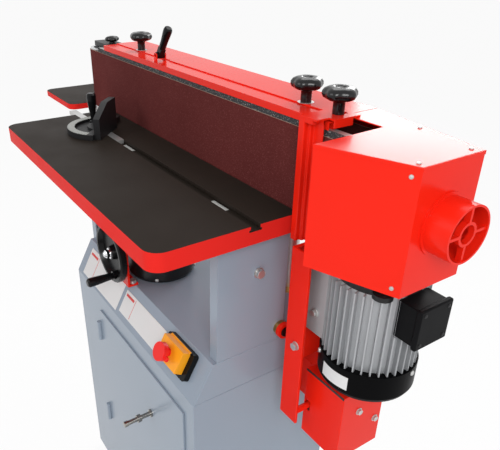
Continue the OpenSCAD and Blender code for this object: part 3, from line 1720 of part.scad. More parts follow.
cabinet();
console();
levelling_feet();
cabinet_door();
hinge_pins();
door_pull();
risers();
frame_bolts();
stay_collars();
bushes();
guide_columns();
switch_base();
switch_flap();
stop_button();
start_button();
lift_housing();
lift_bracket();
lift_screw();
lift_nut();
handwheel();
wheel_shaft();
crank_grip();
main_table();
slot_keepers();
table_sides();
mitre_bar();
mitre_head();
mitre_handle();
end_table();
end_post();
end_arm();
end_lock();
head_frame();
graphite_pad();
sanding_belt();
top_strip();
rear_cover();
guide_rods();
idler_carriage();
idler_drum();
tracking_knob();
tension_lever();
cover_knob_a();
cover_knob_b();
work_stop();
stop_knob();
dust_hood();
hood_top();
dust_port();
motor_body();
end_shield();
fan_cowl();
terminal_box();
motor_bracket();
pull_bar();
head_fasteners();
drive_drum();
drive_shaft();
oscillation_box();
oscillation_unit();
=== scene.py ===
"""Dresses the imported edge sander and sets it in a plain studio."""
import logging
import math
from dataclasses import dataclass
from enum import Enum
from typing import Sequence

import bmesh
import bpy
import numpy as np
from mathutils import Matrix, Vector


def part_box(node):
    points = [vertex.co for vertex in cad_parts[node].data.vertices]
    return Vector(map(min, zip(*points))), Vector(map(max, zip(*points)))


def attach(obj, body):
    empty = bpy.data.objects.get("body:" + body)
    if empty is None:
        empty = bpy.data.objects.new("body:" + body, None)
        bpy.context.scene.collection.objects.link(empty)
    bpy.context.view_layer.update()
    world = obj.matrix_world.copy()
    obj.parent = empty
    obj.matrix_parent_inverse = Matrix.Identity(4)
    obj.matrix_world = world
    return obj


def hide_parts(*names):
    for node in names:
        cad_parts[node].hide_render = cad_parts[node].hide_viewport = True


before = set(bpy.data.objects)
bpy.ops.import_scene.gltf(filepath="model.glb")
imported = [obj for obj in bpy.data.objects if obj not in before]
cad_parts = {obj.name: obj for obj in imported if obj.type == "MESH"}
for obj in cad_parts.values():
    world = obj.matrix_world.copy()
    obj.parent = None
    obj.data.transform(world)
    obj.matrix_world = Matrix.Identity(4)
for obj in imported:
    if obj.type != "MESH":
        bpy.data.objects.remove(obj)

Shape = bmesh.types.BMesh
Tree = bpy.types.NodeTree
Socket = bpy.types.NodeSocket
Pair = tuple[float, float]
Triple = tuple[float, float, float]

LOG = logging.getLogger("edge_sander")
# Sizes in the classes are millimetres, angles are degrees, and the frame is in metres.
MM = 0.001
RIGHT, FRONT, BACK, UP = (Vector(v) for v in ((1, 0, 0), (0, -1, 0), (0, 1, 0), (0, 0, 1)))
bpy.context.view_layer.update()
TABLE_LO, TABLE_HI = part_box("main_table")
# Gap between the table and the sanding face, in millimetres.
BELT_GAP = 3
# Working origin: right table edge, sanding face, table top.
DATUM = Vector((TABLE_HI.x, TABLE_HI.y + BELT_GAP * MM, TABLE_HI.z))
# Distances in metres within which the points of a node, and of a spun or cut shape, merge.
NODE_WELD, SPIN_WELD = 2e-6, 1e-6
# Angles in degrees: faces of a node that are one plane, edges that get rounded,
# edges that stay sharp in the shading, and faces that make a curved surface.
FLAT, SHARP, CREASE, CURVE = 0.5, 35.0, 28.0, 0.3
FLOAT, VECTOR = "NodeSocketFloat", "NodeSocketVector"


def at(x: float, y: float, z: float) -> Vector:
    """Turns millimetres from the working origin into metres in the frame.

    Args:
        x: Distance right of the table's right edge.
        y: Distance behind the sanding face.
        z: Height above the table top.

    Returns:
        The point in the frame.
    """
    return DATUM + Vector((x, y, z)) * MM


def shift(x: float, y: float, z: float) -> Matrix:
    """Gives the matrix of a move in millimetres."""
    return Matrix.Translation(Vector((x, y, z)) * MM)


def upright(axis: Vector) -> Matrix:
    """Gives the matrix that turns the Z axis to a direction."""
    return UP.rotation_difference(axis.normalized()).to_matrix().to_4x4()


def added(name: str, data: bpy.types.ID) -> bpy.types.Object:
    """Adds an object to the scene.

    Args:
        name: Name of the object.
        data: Its mesh, lamp or camera.

    Returns:
        The object.
    """
    obj = bpy.data.objects.new(name, data)
    bpy.context.scene.collection.objects.link(obj)
    return obj


def feed(tree: Tree, socket: Socket, value: Socket | float | Sequence[float]) -> None:
    """Links a socket to another one, or sets its plain value.

    Args:
        tree: The nodes.
        socket: The input to feed.
        value: A socket, a number or a colour.
    """
    if isinstance(value, Socket):
        tree.links.new(value, socket)
    else:
        socket.default_value = value


def maths(tree: Tree, operation: str, *terms: Socket | float) -> Socket:
    """Adds a Math node.

    Args:
        tree: The nodes.
        operation: Name of the operation.
        terms: Its terms, each a socket or a number.

    Returns:
        The result's socket.
    """
    node = tree.nodes.new("ShaderNodeMath")
    node.operation = operation
    for socket, term in zip(node.inputs, terms):
        feed(tree, socket, term)
    return node.outputs[0]


def ranged(tree: Tree, value: Socket, source: Pair = (0.0, 1.0), result: Pair = (0.0, 1.0)) -> Socket:
    """Adds a Map Range node.

    Args:
        tree: The nodes.
        value: The value's socket.
        source: Lowest and highest value that come in.
        result: What they become.

    Returns:
        The result's socket.
    """
    node = tree.nodes.new("ShaderNodeMapRange")
    for label, number in zip(("From Min", "From Max", "To Min", "To Max"), (*source, *result)):
        node.inputs[label].default_value = number
    tree.links.new(value, node.inputs["Value"])
    return node.outputs["Result"]


def noise(tree: Tree, where: Socket, scale: Socket | float, detail: float) -> Socket:
    """Adds a Noise node.

    Args:
        tree: The nodes.
        where: The coordinates' socket.
        scale: The scale, a socket or a number.
        detail: Number of octaves.

    Returns:
        The noise value's socket.
    """
    node = tree.nodes.new("ShaderNodeTexNoise")
    node.inputs["Detail"].default_value = detail
    tree.links.new(where, node.inputs["Vector"])
    feed(tree, node.inputs["Scale"], scale)
    return node.outputs["Fac"]


def coords(tree: Tree) -> Socket:
    """Adds the coordinates of the object."""
    return tree.nodes.new("ShaderNodeTexCoord").outputs["Object"]


def blended(tree: Tree, first: Socket | Triple, second: Socket | Triple, mask: Socket) -> Socket:
    """Mixes two colours by a mask.

    Args:
        tree: The nodes.
        first: Colour, or colour socket, where the mask is 0.
        second: Colour, or colour socket, where the mask is 1.
        mask: The mask's socket.

    Returns:
        The mixed colour's socket.
    """
    mix = tree.nodes.new("ShaderNodeMix")
    mix.data_type = "RGBA"
    for socket, value in zip(mix.inputs[6:8], (first, second)):
        feed(tree, socket, value if isinstance(value, Socket) else (*value, 1.0))
    tree.links.new(mask, mix.inputs[0])
    return mix.outputs[2]


def placed(tree: Tree, inner: Tree, values: dict[str, float]) -> bpy.types.Node:
    """Places a shared group in a material.

    Args:
        tree: The material's nodes.
        inner: The group to place.
        values: The group's input values.

    Returns:
        The group node.
    """
    node = tree.nodes.new("ShaderNodeGroup")
    node.node_tree = inner
    for label, value in values.items():
        node.inputs[label].default_value = value
    return node


class Grain(Enum):
    """Textures that a finish can carry: scale, stretch along Z, strength and depth in metres."""

    SMOOTH = (900.0, 1.0, 0.04, 0.0002)
    PEEL = (260.0, 1.0, 0.05, 0.0002)
    CAST = (700.0, 1.0, 0.35, 0.0005)
    BRUSHED = (300.0, 14.0, 0.15, 0.0002)
    GRIT = (1500.0, 1.0, 0.8, 0.0006)


class Effects:
    """Shader node groups that several finishes share."""

    patch_band: Pair = (0.25, 0.75)
    level_from: float = 0.75

    def __init__(self) -> None:
        """Builds every group once."""
        self.tone = self._tone_group()
        self.relief = self._relief_group()
        self.edge = self._band_group()

    @staticmethod
    def _new(name: str, inputs: dict[str, float], outputs: dict[str, str]) -> tuple[Tree, dict, dict]:
        """Makes an empty group with its sockets.

        Args:
            name: Name of the group.
            inputs: Name and default value of each input.
            outputs: Name and socket type of each output.

        Returns:
            The node tree, and the sockets of its group input and group output by name.
        """
        tree = bpy.data.node_groups.new(name, "ShaderNodeTree")
        for label, value in inputs.items():
            tree.interface.new_socket(label, in_out="INPUT", socket_type=FLOAT).default_value = value
        for label, kind in outputs.items():
            tree.interface.new_socket(label, in_out="OUTPUT", socket_type=kind)
        given = tree.nodes.new("NodeGroupInput")
        out = tree.nodes.new("NodeGroupOutput")
        return tree, {n: given.outputs[n] for n in inputs}, {n: out.inputs[n] for n in outputs}

    def _tone_group(self) -> Tree:
        """Group that puts out a soft mask of handling marks and a fine speckle.

        Returns:
            The finished group.
        """
        tree, given, out = self._new("surface_tone", {"Patch Scale": 9.0, "Speck Scale": 900.0},
                                     {"Patch": FLOAT, "Speck": FLOAT})
        where = coords(tree)
        patch, speck = (noise(tree, where, given[label], 2.0) for label in ("Patch Scale", "Speck Scale"))
        tree.links.new(ranged(tree, patch, self.patch_band), out["Patch"])
        tree.links.new(speck, out["Speck"])
        return tree

    def _relief_group(self) -> Tree:
        """Group that puts out a bumped normal, stretched for brushed metal.

        Returns:
            The finished group.
        """
        tree, given, out = self._new("surface_relief", {"Scale": 400.0, "Stretch": 1.0, "Strength": 0.1,
                                                        "Depth": 0.0003}, {"Normal": VECTOR})
        stretch = tree.nodes.new("ShaderNodeCombineXYZ")
        for axis, value in zip("XYZ", (1.0, 1.0, given["Stretch"])):
            feed(tree, stretch.inputs[axis], value)
        place = tree.nodes.new("ShaderNodeVectorMath")
        place.operation = "MULTIPLY"
        tree.links.new(coords(tree), place.inputs[0])
        tree.links.new(stretch.outputs["Vector"], place.inputs[1])
        bump = tree.nodes.new("ShaderNodeBump")
        tree.links.new(noise(tree, place.outputs["Vector"], given["Scale"], 3.0), bump.inputs["Height"])
        tree.links.new(given["Strength"], bump.inputs["Strength"])
        tree.links.new(given["Depth"], bump.inputs["Distance"])
        tree.links.new(bump.outputs["Normal"], out["Normal"])
        return tree

    def _band_group(self) -> Tree:
        """Group that marks outer faces that look sideways, and not those of a slot along X.

        Returns:
            The finished group.
        """
        tree, given, out = self._new("side_faces", {"Band Y": 0.0, "Band Half": 0.0, "Mid X": 0.0,
                                                    "Half X": 100.0}, {"Side": FLOAT})
        point, facing = (tree.nodes.new("ShaderNodeSeparateXYZ") for _ in range(2))
        tree.links.new(coords(tree), point.inputs[0])
        tree.links.new(tree.nodes.new("ShaderNodeNewGeometry").outputs["Normal"], facing.inputs[0])
        clear = []
        for axis, middle, half in (("Y", "Band Y", "Band Half"), ("X", "Mid X", "Half X")):
            off = maths(tree, "ABSOLUTE", maths(tree, "SUBTRACT", point.outputs[axis], given[middle]))
            clear.append(maths(tree, "GREATER_THAN", off, given[half]))
        side = maths(tree, "LESS_THAN", facing.outputs["Z"], self.level_from)
        tree.links.new(maths(tree, "MULTIPLY", side, maths(tree, "MAXIMUM", *clear)), out["Side"])
        return tree


@dataclass(frozen=True)
class Finish:
    """A surface finish with its colours and texture."""

    name: str
    slot: str
    color: Triple
    shade: float = 0.82
    roughness: float = 0.4
    rough_spread: float = 0.12
    metallic: float = 0.0
    specular: float = 0.5
    grain: Grain = Grain.SMOOTH
    patch_scale: float = 9.0
    speck_scale: float = 900.0
    speck: float = 0.0
    speck_color: Triple = (0.5, 0.5, 0.5)
    speck_band: Pair = (0.56, 0.72)

    def build(self, effects: Effects) -> bpy.types.Material:
        """Builds the node material.

        Args:
            effects: The shared shader groups.

        Returns:
            The material.
        """
        material = bpy.data.materials.new(self.name)
        material.use_nodes = True
        tree = material.node_tree
        shader = tree.nodes["Principled BSDF"]
        shader.inputs["Metallic"].default_value = self.metallic
        shader.inputs["Specular IOR Level"].default_value = self.specular
        tone = placed(tree, effects.tone, {"Patch Scale": self.patch_scale, "Speck Scale": self.speck_scale})
        patch = tone.outputs["Patch"]
        color = blended(tree, self.color, tuple(c * self.shade for c in self.color), patch)
        if self.speck > 0:
            flake = ranged(tree, tone.outputs["Speck"], self.speck_band, (0.0, self.speck))
            color = blended(tree, color, self.speck_color, flake)
        tree.links.new(self.paint(tree, color, effects), shader.inputs["Base Color"])
        half = self.rough_spread / 2
        rough = ranged(tree, patch, result=(self.roughness - half, self.roughness + half))
        tree.links.new(rough, shader.inputs["Roughness"])
        labels = ("Scale", "Stretch", "Strength", "Depth")
        relief = placed(tree, effects.relief, dict(zip(labels, self.grain.value)))
        tree.links.new(relief.outputs["Normal"], shader.inputs["Normal"])
        return material

    def paint(self, tree: Tree, color: Socket, effects: Effects) -> Socket:
        """Gives the colour as it is; a finish with two colours mixes them here."""
        return color


@dataclass(frozen=True)
class EdgedFinish(Finish):
    """A dark plate top with painted side faces."""

    edge_color: Triple = (0.7, 0.02, 0.015)
    band_y: float = 0.0
    band_half: float = 0.0
    mid_x: float = 0.0
    half_x: float = 100.0

    def paint(self, tree: Tree, color: Socket, effects: Effects) -> Socket:
        """Paints the side faces outside the slot's band.

        Args:
            tree: The material's nodes.
            color: The top's colour.
            effects: The shared shader groups.

        Returns:
            The colour's socket.
        """
        side = placed(tree, effects.edge, {"Band Y": self.band_y, "Band Half": self.band_half,
                                           "Mid X": self.mid_x, "Half X": self.half_x})
        return blended(tree, color, self.edge_color, side.outputs["Side"])


@dataclass(frozen=True)
class BeltFinish(Finish):
    """Abrasive faces with the pale cut edge of the belt's cloth."""

    edge_color: Triple = (0.5, 0.36, 0.27)

    def paint(self, tree: Tree, color: Socket, effects: Effects) -> Socket:
        """Shows the cloth where the belt is cut, on its level faces."""
        side = placed(tree, effects.edge, {"Band Half": -1.0})
        return blended(tree, self.edge_color, color, side.outputs["Side"])


@dataclass(frozen=True)
class ScaleFinish(Finish):
    """A pale ring with fine lines at even angles about its centre."""

    centre: Triple = (0.0, 0.0, 0.0)
    lines: float = 72.0
    line_share: float = 0.22
    line_color: Triple = (0.03, 0.03, 0.03)

    def paint(self, tree: Tree, color: Socket, effects: Effects) -> Socket:
        """Draws the lines from the angle about the ring's centre.

        Args:
            tree: The material's nodes.
            color: The ring's colour.
            effects: The shared shader groups.

        Returns:
            The colour's socket.
        """
        place = tree.nodes.new("ShaderNodeMapping")
        place.inputs["Location"].default_value = tuple(-c for c in self.centre)
        around = tree.nodes.new("ShaderNodeTexGradient")
        around.gradient_type = "RADIAL"
        tree.links.new(coords(tree), place.inputs["Vector"])
        tree.links.new(place.outputs["Vector"], around.inputs["Vector"])
        part = maths(tree, "FRACT", maths(tree, "MULTIPLY", around.outputs["Fac"], self.lines))
        return blended(tree, color, self.line_color, maths(tree, "LESS_THAN", part, self.line_share))


@dataclass(frozen=True)
class Round:
    """A round solid: the seat at its inner end, its axis, radius and height in metres."""

    seat: Vector
    axis: Vector
    r: float
    h: float

    @staticmethod
    def fit(points: list[Vector]) -> "Round":
        """Fits a round to the points of a solid.

        Args:
            points: The solid's points.

        Returns:
            The round with its axis pointing to the front, the right or the top.
        """
        cloud = np.array([tuple(v) for v in points])
        mid = (cloud.min(axis=0) + cloud.max(axis=0)) / 2
        values, vectors = np.linalg.eigh(np.cov((cloud - mid).T))
        odd = 0 if values[1] - values[0] > values[2] - values[1] else 2
        axis = Vector(vectors[:, odd]).normalized()
        if axis.dot(RIGHT + FRONT + UP) < 0:
            axis.negate()
        along = (cloud - mid) @ np.array(axis)
        low, high = float(along.min()), float(along.max())
        centre = Vector(mid)
        radius = max((Vector(v) - centre - axis * a).length for v, a in zip(cloud, along))
        return Round(centre + axis * low, axis, float(radius), high - low)


class Workshop:
    """Holds the built materials and the common ways to make and dress pieces."""

    def __init__(self, finishes: list[Finish]) -> None:
        """Builds every finish.

        Args:
            finishes: The finishes to build.
        """
        effects = Effects()
        self.finishes = {f.name: f for f in finishes}
        self.materials = {f.name: f.build(effects) for f in finishes}

    def dress(self, finish: str, *nodes: str) -> None:
        """Gives CAD nodes a finish.

        Args:
            finish: Name of the finish.
            nodes: Names of the nodes.
        """
        for node in nodes:
            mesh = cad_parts[node].data
            mesh.materials.clear()
            mesh.materials.append(self.materials[finish])
            LOG.info("dressed %s with %s", node, finish)

    def piece(self, name: str, bm: Shape, body: str, finish: str, replaces: tuple[str, ...] = ()) -> None:
        """Turns a shape into a finished piece that rides on a body.

        Args:
            name: Name of the piece.
            bm: Its shape, in place.
            body: Body that carries it.
            finish: Name of its finish.
            replaces: CAD nodes that it stands for.
        """
        mesh = bpy.data.meshes.new(name)
        bm.to_mesh(mesh)
        bm.free()
        mesh.materials.append(self.materials[finish])
        obj = added(name, mesh)
        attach(obj, body)
        if replaces:
            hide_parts(*replaces)
        LOG.info("made %s on %s", name, body)

    def soften(self, node: str, body: str, finish: str, width: float) -> None:
        """Replaces a node by its own shape with rounded edges.

        Args:
            node: The CAD node.
            body: Body that carries it.
            finish: Name of the finish.
            width: Width of the rounding in millimetres.
        """
        bm = copied(node)
        ease(bm, width)
        self.piece(node + "_shell", bm, body, finish, (node,))


def copied(node: str) -> Shape:
    """Copies a node's mesh and merges its loose triangles.

    Args:
        node: The CAD node.

    Returns:
        The closed shape, in place.
    """
    bm = bmesh.new()
    bm.from_mesh(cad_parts[node].data)
    bmesh.ops.remove_doubles(bm, verts=bm.verts, dist=NODE_WELD)
    return bm


def rounds(node: str) -> list[Round]:
    """Reads the separate round solids of a node.

    Args:
        node: The CAD node.

    Returns:
        One round per solid, with its axis turned to the front, the right or the top.
    """
    bm = copied(node)
    left = set(bm.verts)
    found = []
    while left:
        stack = [min(left, key=lambda v: v.index)]
        left.discard(stack[0])
        group = []
        while stack:
            vert = stack.pop()
            group.append(vert.co.copy())
            for edge in vert.link_edges:
                other = edge.other_vert(vert)
                if other in left:
                    left.discard(other)
                    stack.append(other)
        found.append(Round.fit(group))
    bm.free()
    return found


def bevelled(bm: Shape, edges: Sequence[bmesh.types.BMEdge], width: float,
             segments: int = 2) -> list[bmesh.types.BMFace]:
    """Rounds some edges of a shape.

    Args:
        bm: The shape.
        edges: The edges to round.
        width: Width of the rounding in millimetres.
        segments: Number of segments in the rounding.

    Returns:
        The faces of the rounding.
    """
    return bmesh.ops.bevel(bm, geom=edges, offset=width * MM, offset_type="OFFSET", segments=segments,
                           profile=0.5, affect="EDGES", clamp_overlap=True, material=-1)["faces"]


def ease(bm: Shape, width: float) -> None:
    """Rounds the sharp edges of a shape.

    Args:
        bm: The shape.
        width: Width of the rounding in millimetres.
    """
    bmesh.ops.dissolve_limit(bm, angle_limit=math.radians(FLAT), verts=bm.verts, edges=bm.edges)
    sharp = [e for e in bm.edges if len(e.link_faces) == 2 and e.calc_face_angle(0.0) > math.radians(SHARP)]
    shade(bm, bevelled(bm, sharp, width))


def shade(bm: Shape, rounded: Sequence[bmesh.types.BMFace] = (), crease: float = CREASE) -> None:
    """Shades flat faces flat, and curved faces and rounded edges smooth.

    Args:
        bm: The shape.
        rounded: The faces of its rounded edges.
        crease: Angle in degrees from which an edge is sharp.
    """
    bm.normal_update()
    soft = set(rounded)
    curved = set(rounded)
    for edge in bm.edges:
        if len(edge.link_faces) != 2:
            continue
        count = sum(face in soft for face in edge.link_faces)
        angle = edge.calc_face_angle(0.0)
        edge.smooth = count == 2 or (count == 0 and angle < math.radians(crease))
        if count == 0 and edge.smooth and angle > math.radians(CURVE):
            curved.update(edge.link_faces)
    for face in bm.faces:
        face.smooth = face in curved


def closed(bm: Shape, crease: float = CREASE) -> None:
    """Merges the seam of a spun shape, turns its faces outwards and shades it.

    Args:
        bm: The shape.
        crease: Angle in degrees from which an edge is sharp.
    """
    bmesh.ops.remove_doubles(bm, verts=bm.verts, dist=SPIN_WELD)
    bmesh.ops.recalc_face_normals(bm, faces=bm.faces)
    shade(bm, crease=crease)


def turned(profile: Sequence[Pair], base: Vector, axis: Vector, steps: int = 32,
           crease: float = CREASE) -> Shape:
    """Spins a profile into a round piece.

    Args:
        profile: Radius and height pairs in millimetres, from the axis out and back to it.
        base: Point on the axis where the height is 0.
        axis: Direction of the axis.
        steps: Number of steps of the spin.
        crease: Angle in degrees from which an edge is sharp.

    Returns:
        The round shape, in place.
    """
    bm = bmesh.new()
    verts = [bm.verts.new((r * MM, 0.0, h * MM)) for r, h in profile]
    edges = [bm.edges.new(pair) for pair in zip(verts, verts[1:])]
    bmesh.ops.spin(bm, geom=verts + edges, cent=(0, 0, 0), axis=UP, angle=math.tau, steps=steps,
                   use_merge=True)
    closed(bm, crease)
    bmesh.ops.transform(bm, matrix=Matrix.Translation(base) @ upright(axis), verts=bm.verts)
    return bm


def arc_band(radii: Pair, heights: Pair, start: float, sweep: float, steps: int, base: Vector) -> Shape:
    """Sweeps a rectangle about an upright axis into a curved strip.

    Args:
        radii: Inner and outer radius in millimetres.
        heights: Lower and upper end in millimetres.
        start: Direction of the first end in degrees.
        sweep: Angle of the strip in degrees.
        steps: Number of steps of the sweep.
        base: Point on the axis where the height is 0.

    Returns:
        The strip, in place.
    """
    (r0, r1), (z0, z1) = radii, heights
    bm = bmesh.new()
    corners = ((r0, z0), (r1, z0), (r1, z1), (r0, z1))
    face = bm.faces.new([bm.verts.new((r * MM, 0, z * MM)) for r, z in corners])
    bmesh.ops.transform(bm, matrix=Matrix.Rotation(math.radians(start), 4, "Z"), verts=bm.verts)
    bmesh.ops.spin(bm, geom=[face], cent=(0, 0, 0), axis=UP, angle=math.radians(sweep), steps=steps)
    closed(bm)
    bmesh.ops.translate(bm, vec=base, verts=bm.verts)
    return bm


def plate(size: Triple, place: Matrix, edge: float, segments: int = 2) -> Shape:
    """Makes a block with rounded edges.

    Args:
        size: Length, depth and height in millimetres.
        place: Matrix that puts the block's centre in place.
        edge: Rounding of the edges in millimetres.
        segments: Number of segments in the rounding.

    Returns:
        The block, in place.
    """
    bm = bmesh.new()
    bmesh.ops.create_cube(bm, size=1.0)
    bmesh.ops.scale(bm, vec=Vector(size) * MM, verts=bm.verts)
    shade(bm, bevelled(bm, bm.edges[:], edge, segments))
    bmesh.ops.transform(bm, matrix=place, verts=bm.verts)
    return bm


def joined(parts: Sequence[Shape]) -> Shape:
    """Puts several shapes into one.

    Args:
        parts: The shapes, which are freed.

    Returns:
        One shape that holds them all.
    """
    whole = bmesh.new()
    for part in parts:
        mesh = bpy.data.meshes.new("part")
        part.to_mesh(mesh)
        part.free()
        whole.from_mesh(mesh)
        bpy.data.meshes.remove(mesh)
    return whole


@dataclass(frozen=True)
class Screw:
    """A pan-head screw with a cross, sized by its radius and height."""

    r: float = 4.0
    h: float = 2.5
    profile: tuple[Pair, ...] = ((0, 0), (1, 0), (1, 0.4), (0.8, 0.8), (0.45, 1), (0, 1))
    steps: int = 20
    cross: tuple[float, ...] = (20.0, 110.0)
    bar_w: float = 0.22
    bar_t: float = 0.3
    bar_edge: float = 0.05

    def build(self, seat: Vector, axis: Vector) -> Shape:
        """Makes the head on its seat.

        Args:
            seat: Point on the surface.
            axis: Outward direction.

        Returns:
            The head, in place.
        """
        parts = [turned([(a * self.r, b * self.h) for a, b in self.profile], seat, axis, self.steps)]
        bar = (self.r, self.r * self.bar_w, self.bar_t)
        for angle in self.cross:
            spot = Matrix.Translation(seat) @ upright(axis) @ Matrix.Rotation(math.radians(angle), 4, "Z")
            parts.append(plate(bar, spot @ shift(0, 0, self.h), self.bar_edge, 1))
        return joined(parts)

    def on_rim(self, node: str, z: float, angles: Sequence[float], sunk: float) -> Shape:
        """Sets such screws round the rim of an upright round node.

        Args:
            node: The CAD node.
            z: Height of the screws in metres.
            angles: Their directions in degrees.
            sunk: How deep they sit in the rim, in millimetres.

        Returns:
            The screws, in place.
        """
        lo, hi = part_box(node)
        mid, r = (lo + hi) / 2, (hi.x - lo.x) / 2 - sunk * MM
        heads = []
        for angle in angles:
            out = Vector((math.cos(math.radians(angle)), math.sin(math.radians(angle)), 0))
            heads.append(self.build(Vector((mid.x, mid.y, z)) + out * r, out))
        return joined(heads)


@dataclass(frozen=True)
class HexBolt:
    """A hexagon bolt head on a washer."""

    flats: float = 13.0
    h: float = 7.0
    washer: float = 8.5
    washer_t: float = 1.4
    rim: float = 0.4
    turn: float = 10.0
    edge: float = 0.5
    steps: int = 28

    def build(self, seat: Vector, axis: Vector) -> Shape:
        """Makes the washer and the head on a seat.

        Args:
            seat: Point on the surface.
            axis: Outward direction.

        Returns:
            The bolt head, in place.
        """
        w, t = self.washer, self.washer_t
        ring = turned([(0, 0), (w, 0), (w, t - self.rim), (w - self.rim, t), (0, t)], seat, axis, self.steps)
        head = bmesh.new()
        radius = self.flats / math.sqrt(3) * MM
        bmesh.ops.create_cone(head, cap_ends=True, segments=6, radius1=radius, radius2=radius,
                              depth=(self.h - t) * MM)
        turn = Matrix.Rotation(math.radians(self.turn), 3, "Z")
        bmesh.ops.rotate(head, cent=(0, 0, 0), matrix=turn, verts=head.verts)
        shade(head, bevelled(head, head.edges[:], self.edge))
        place = Matrix.Translation(seat) @ upright(axis) @ shift(0, 0, (self.h + t) / 2)
        bmesh.ops.transform(head, matrix=place, verts=head.verts)
        return joined([ring, head])


@dataclass(frozen=True)
class StarKnob:
    """A moulded knob with rounded lobes on a round stem."""

    r: float = 27.0
    stem_r: float = 9.0
    stem_h: float = 20.0
    cap_h: float = 20.0
    lobes: int = 5
    depth: float = 0.12
    stem: tuple[Pair, ...] = ((0, 0), (1, 0), (1, 0.5), (1, 0.85))
    cap: tuple[Pair, ...] = ((0.4, 0.0), (0.52, 0.02), (0.74, 0.07), (0.92, 0.2), (1.0, 0.42),
                             (0.985, 0.63), (0.88, 0.83), (0.68, 0.96), (0.44, 1.0), (0.33, 0.985),
                             (0.28, 0.93), (0.26, 0.9), (0.0, 0.89))
    lobe_z: float = 0.9
    lobe_from: float = 0.45
    lobe_fade: float = 0.4
    lobe_power: float = 1.6
    crease: float = 60.0
    steps: int = 60

    def build(self, node: str) -> Shape:
        """Makes the knob in the place of its node.

        Args:
            node: The CAD knob.

        Returns:
            The knob, in place.
        """
        lo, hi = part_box(node)
        base = Vector(((lo.x + hi.x) / 2, (lo.y + hi.y) / 2, hi.z - (self.stem_h + self.cap_h) * MM))
        profile = [(a * self.stem_r, b * self.stem_h) for a, b in self.stem]
        profile += [(a * self.r, self.stem_h + b * self.cap_h) for a, b in self.cap]
        bm = turned(profile, Vector(), UP, self.steps, self.crease)
        for vert in bm.verts:
            reach = math.hypot(vert.co.x, vert.co.y) / (self.r * MM)
            if vert.co.z > self.stem_h * self.lobe_z * MM and reach > self.lobe_from:
                wave = 0.5 - 0.5 * math.cos(self.lobes * math.atan2(vert.co.y, vert.co.x))
                share = min(1.0, (reach - self.lobe_from) / self.lobe_fade)
                pull = 1 - self.depth * wave ** self.lobe_power * share
                vert.co.x *= pull
                vert.co.y *= pull
        bmesh.ops.translate(bm, vec=base, verts=bm.verts)
        return bm


@dataclass
class HandLever:
    """Lever with a moulded grip on a flat neck between the strip's ears."""

    lean: float = 36.0
    hub_r: float = 7.5
    hub_half: float = 9.0
    hub_gap: float = 0.2
    r: float = 9.5
    grip: tuple[Pair, ...] = ((0, 16), (0.72, 16), (0.8, 20), (0.84, 40), (1, 61), (1, 69), (0.88, 73),
                              (0.55, 75), (0, 75))
    neck: Triple = (15.0, 13.0, 22.0)
    neck_z: float = 9.0
    neck_edge: float = 1.5
    steps: int = 28

    def build(self, node: str) -> Shape:
        """Makes the lever in the place of its node.

        Args:
            node: The CAD lever.

        Returns:
            The lever, in place.
        """
        lo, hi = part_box(node)
        hub = Vector((lo.x + self.hub_r * MM, (lo.y + hi.y) / 2, lo.z + self.hub_r * MM))
        place = Matrix.Translation(hub) @ Matrix.Rotation(math.radians(self.lean), 4, "Y")
        grip = turned([(a * self.r, z) for a, z in self.grip], hub, place.to_3x3() @ UP, self.steps)
        neck = plate(self.neck, place @ shift(0, 0, self.neck_z), self.neck_edge)
        r, wide = self.hub_r - self.hub_gap, 2 * self.hub_half
        end = hub + FRONT * self.hub_half * MM
        barrel = turned([(0, 0), (r, 0), (r, wide), (0, wide)], end, BACK, self.steps)
        return joined([grip, neck, barrel])


